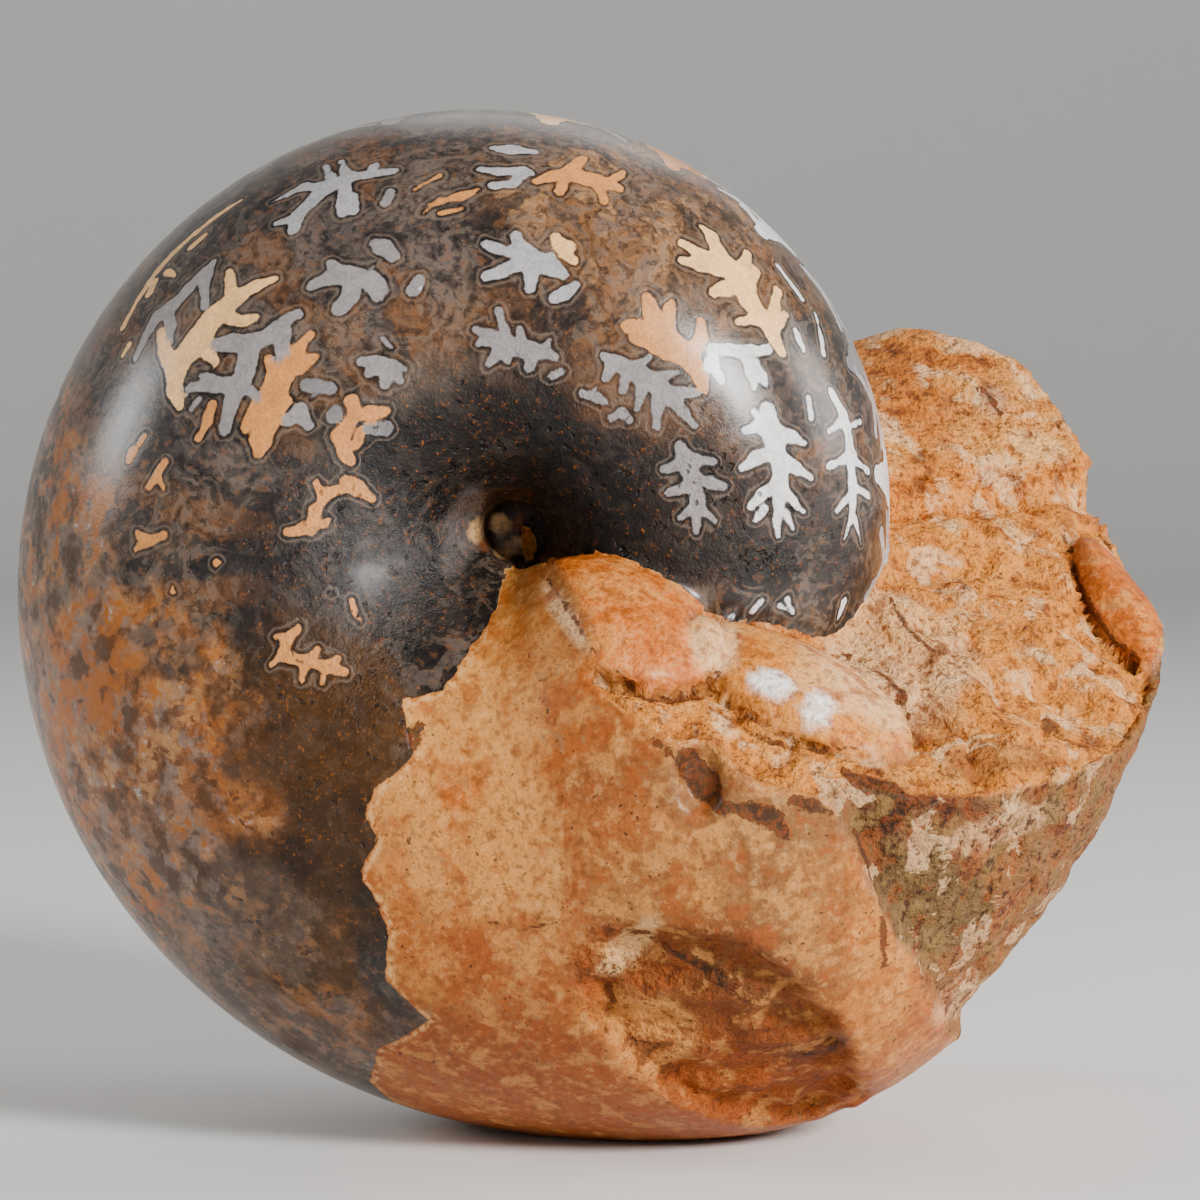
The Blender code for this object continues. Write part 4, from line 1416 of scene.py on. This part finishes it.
    # Height of the fine relief, in millimetres, and the polish
    height = pits * -0.22 + (dust - 0.5) * (0.03 + grit * on_shell * 0.10 + on_fill * 0.05)
    lumps = dull_fill * 0.9 + on_fill * 0.14 + crystals * 0.05 + grit * on_shell * 0.22
    height = height + (fine - 0.5) * lumps + (middle - 0.5) * dull_fill * 1.2
    height = height - outline * 0.02 - crack * 0.12
    bump = graph.add("ShaderNodeBump", {}, {"Strength": 1.0, "Distance": MM, "Height": height}, out="Normal")
    roughness = (1.0 - look.gloss) + grit * on_shell * 0.14 + on_fill * 0.24 + dull_fill * 0.14
    roughness = roughness - rounded * on_fill * 0.16 + (fine - 0.5) * 0.12
    polish = (1.0 - larger(grit * 0.9, crystal * 0.5) * on_shell) * (1.0 - on_fill * 0.7) * (1.0 - dull_fill)
    sockets = {
        "Base Color": paint,
        "Roughness": clip01(roughness),
        "Normal": bump,
        "Specular IOR Level": look.sheen,
        "Coat Weight": polish * 0.4,
        "Coat Roughness": 0.24,
    }
    surface = graph.add("ShaderNodeBsdfPrincipled", {}, sockets, out="BSDF")
    graph.add("ShaderNodeOutputMaterial", {}, {"Surface": surface}, out=None)
    return material


def plain_material(name, tint, roughness):
    material = bpy.data.materials.new(name)
    material.use_nodes = True
    surface = material.node_tree.nodes["Principled BSDF"]
    surface.inputs["Base Color"].default_value = (*tint, 1.0)
    surface.inputs["Roughness"].default_value = roughness
    return material


# The stage


def floor_mesh(radius):
    """A round floor that turns up into a wall, so that every side has a plain background."""
    profile = [(radius * 0.5, 0.0)]
    for step in range(FILLET_STEPS + 1):
        angle = step / FILLET_STEPS * math.pi / 2
        profile.append((radius + FILLET * math.sin(angle), FILLET * (1.0 - math.cos(angle))))
    profile.append((radius + FILLET, FILLET + WALL_HEIGHT))
    turns = [side / FLOOR_SIDES * 2.0 * math.pi for side in range(FLOOR_SIDES)]
    bm = bmesh.new()
    middle = bm.verts.new((0.0, 0.0, 0.0))
    rings = []
    for out, height in profile:
        rings.append([bm.verts.new((out * math.cos(turn), out * math.sin(turn), height)) for turn in turns])
    for side in range(FLOOR_SIDES):
        following = (side + 1) % FLOOR_SIDES
        bm.faces.new((middle, rings[0][side], rings[0][following]))
        for inner, outer in zip(rings, rings[1:]):
            bm.faces.new((inner[side], outer[side], outer[following], inner[following]))
    for face in bm.faces:
        face.smooth = True
    mesh = bpy.data.meshes.new("Pale floor")
    bm.to_mesh(mesh)
    bm.free()
    return mesh


def add_light(name, place, size, power):
    """A soft square light that shines from a place to the stone."""
    light = bpy.data.lights.new(name, "AREA")
    light.size = size
    light.energy = power
    lamp = bpy.data.objects.new(name, light)
    lamp.location = place
    lamp.rotation_euler = (Vector(LIGHT_TARGET) - Vector(place)).to_track_quat("-Z", "Y").to_euler()
    bpy.context.scene.collection.objects.link(lamp)


def add_camera():
    """A camera where the photograph's was, which shows the stone at the same place of the picture."""
    right, up, forward = (Vector(axis) for axis in view_axes())
    focal = PIXELS_PER_MM * VIEW_DISTANCE
    aside = PHOTO_SIZE / 2 - COIL_PIXEL[0]
    below = PHOTO_SIZE / 2 - COIL_PIXEL[1]
    aim = forward * focal + right * aside - up * below
    camera = bpy.data.objects.new("Camera", bpy.data.cameras.new("Camera"))
    camera.data.sensor_width = SENSOR
    camera.data.lens = SENSOR * focal / PHOTO_SIZE
    camera.data.clip_start = 0.01
    camera.location = (COIL_ORIGIN - forward * VIEW_DISTANCE) * MM
    camera.rotation_euler = aim.to_track_quat("-Z", "Y").to_euler()
    bpy.context.scene.collection.objects.link(camera)
    bpy.context.scene.camera = camera


# The add-on


def number_property(name, description, default, low, high, **kind):
    """A number to set; kind gives its unit or its subtype."""
    return bpy.props.FloatProperty(
        name=name, description=description, default=default, min=low, max=high, **kind
    )


def length_property(*values):
    return number_property(*values, unit="LENGTH")


def tint_property(name, description, default):
    return bpy.props.FloatVectorProperty(
        name=name, description=description, default=default, min=0.0, max=1.0, size=3, subtype="COLOR"
    )


class FossilCoilSizes(bpy.types.PropertyGroup):
    """Sizes of the coil."""

    bottom_radius: length_property(
        "Bottom radius", "Outer radius of the coil at its lowest point", 0.060, 0.03, 0.12
    )
    growth: number_property("Growth", "Growth of the coil's radius for each radian it turns", 0.099, 0.0, 0.3)
    half_thickness: number_property(
        "Half thickness", "Half the coil's thickness as a share of its radius", 0.56, 0.2, 0.9
    )
    swell: length_property("Swell", "Extra radius where the last whorl is widest", 0.0033, 0.0, 0.01)
    break_offset: length_property(
        "Break offset", "Distance of the broken face from the coil's centre", 0.013, 0.0, 0.04
    )
    hole_radius: length_property(
        "Umbilicus radius", "Radius of the small hole at the coil's middle", 0.0033, 0.001, 0.01
    )

    def millimetres(self):
        return SimpleNamespace(
            bottom_radius=self.bottom_radius / MM,
            growth=self.growth,
            half_thickness=self.half_thickness,
            swell=self.swell / MM,
            break_offset=self.break_offset / MM,
            hole_radius=self.hole_radius / MM,
        )


class FossilFinish(bpy.types.PropertyGroup):
    """Finish of the stone."""

    sheen: number_property("Sheen", "Strength of the stone's reflections", 0.22, 0.0, 1.0, subtype="FACTOR")
    gloss: number_property(
        "Gloss", "Polish of the shell, from dull to mirror-like", 0.74, 0.0, 1.0, subtype="FACTOR"
    )


class FossilStageSettings(bpy.types.PropertyGroup):
    """Floor and lights."""

    floor_radius: length_property("Floor radius", "Radius of the flat floor", 1.2, 0.3, 5.0)
    floor_tint: tint_property("Floor tint", "Colour of the floor", (0.84, 0.83, 0.81))
    light_power: number_property("Light power", "Power of the main light", 10.0, 0.0, 200.0, unit="POWER")
    world_strength: number_property(
        "World strength", "Strength of the pale light from all sides", 0.22, 0.0, 5.0
    )


class FOSSIL_OT_ammonite(bpy.types.Operator):
    """Make the ammonite's stone"""

    bl_idname = "fossil.ammonite"
    bl_label = "Ammonite"

    def execute(self, context):
        form = context.scene.fossil_coil.millimetres()
        material = stone_material(context.scene.fossil_finish)
        mesh = finished_mesh(form, material)
        mesh.name = PIECE
        if not mesh.materials:
            mesh.materials.append(material)
        stone = bpy.data.objects.new(PIECE, mesh)
        context.scene.collection.objects.link(stone)
        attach(stone, "root")
        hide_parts("ammonite")
        return {"FINISHED"}


class FOSSIL_OT_stage(bpy.types.Operator):
    """Make the floor, the lights and the camera"""

    bl_idname = "fossil.stage"
    bl_label = "Stage"

    def execute(self, context):
        settings = context.scene.fossil_stage
        mesh = floor_mesh(settings.floor_radius)
        mesh.materials.append(plain_material("Pale floor", settings.floor_tint, FLOOR_ROUGHNESS))
        floor = bpy.data.objects.new("Pale floor", mesh)
        context.scene.collection.objects.link(floor)
        for name, place, size, share in LIGHTS:
            add_light(name, place, size, settings.light_power * share)
        world = bpy.data.worlds.new("Pale room")
        world.use_nodes = True
        background = world.node_tree.nodes["Background"]
        background.inputs["Color"].default_value = ROOM_TINT
        background.inputs["Strength"].default_value = settings.world_strength
        context.scene.world = world
        add_camera()
        return {"FINISHED"}


class FOSSIL_PT_panel(bpy.types.Panel):
    """Settings and operators of the fossil"""

    bl_label = "Fossil ammonite"
    bl_idname = "FOSSIL_PT_panel"
    bl_space_type = "VIEW_3D"
    bl_region_type = "UI"
    bl_category = "Fossil"

    def draw(self, context):
        for group in SETTINGS:
            box = self.layout.box()
            settings = getattr(context.scene, group)
            for name in settings.bl_rna.properties.keys():
                if name not in ("rna_type", "name"):
                    box.prop(settings, name)
        for operator in (FOSSIL_OT_ammonite, FOSSIL_OT_stage):
            self.layout.operator(operator.bl_idname)


SETTINGS = {
    "fossil_coil": FossilCoilSizes,
    "fossil_finish": FossilFinish,
    "fossil_stage": FossilStageSettings,
}
CLASSES = (*SETTINGS.values(), FOSSIL_OT_ammonite, FOSSIL_OT_stage, FOSSIL_PT_panel)


def register():
    for item in CLASSES:
        bpy.utils.register_class(item)
    for name, group in SETTINGS.items():
        setattr(bpy.types.Scene, name, bpy.props.PointerProperty(type=group))


def unregister():
    for name in SETTINGS:
        delattr(bpy.types.Scene, name)
    for item in reversed(CLASSES):
        bpy.utils.unregister_class(item)


def main():
    register()
    bpy.ops.fossil.ammonite()
    bpy.ops.fossil.stage()
    bpy.context.view_layer.update()


if __name__ == "__main__":
    main()
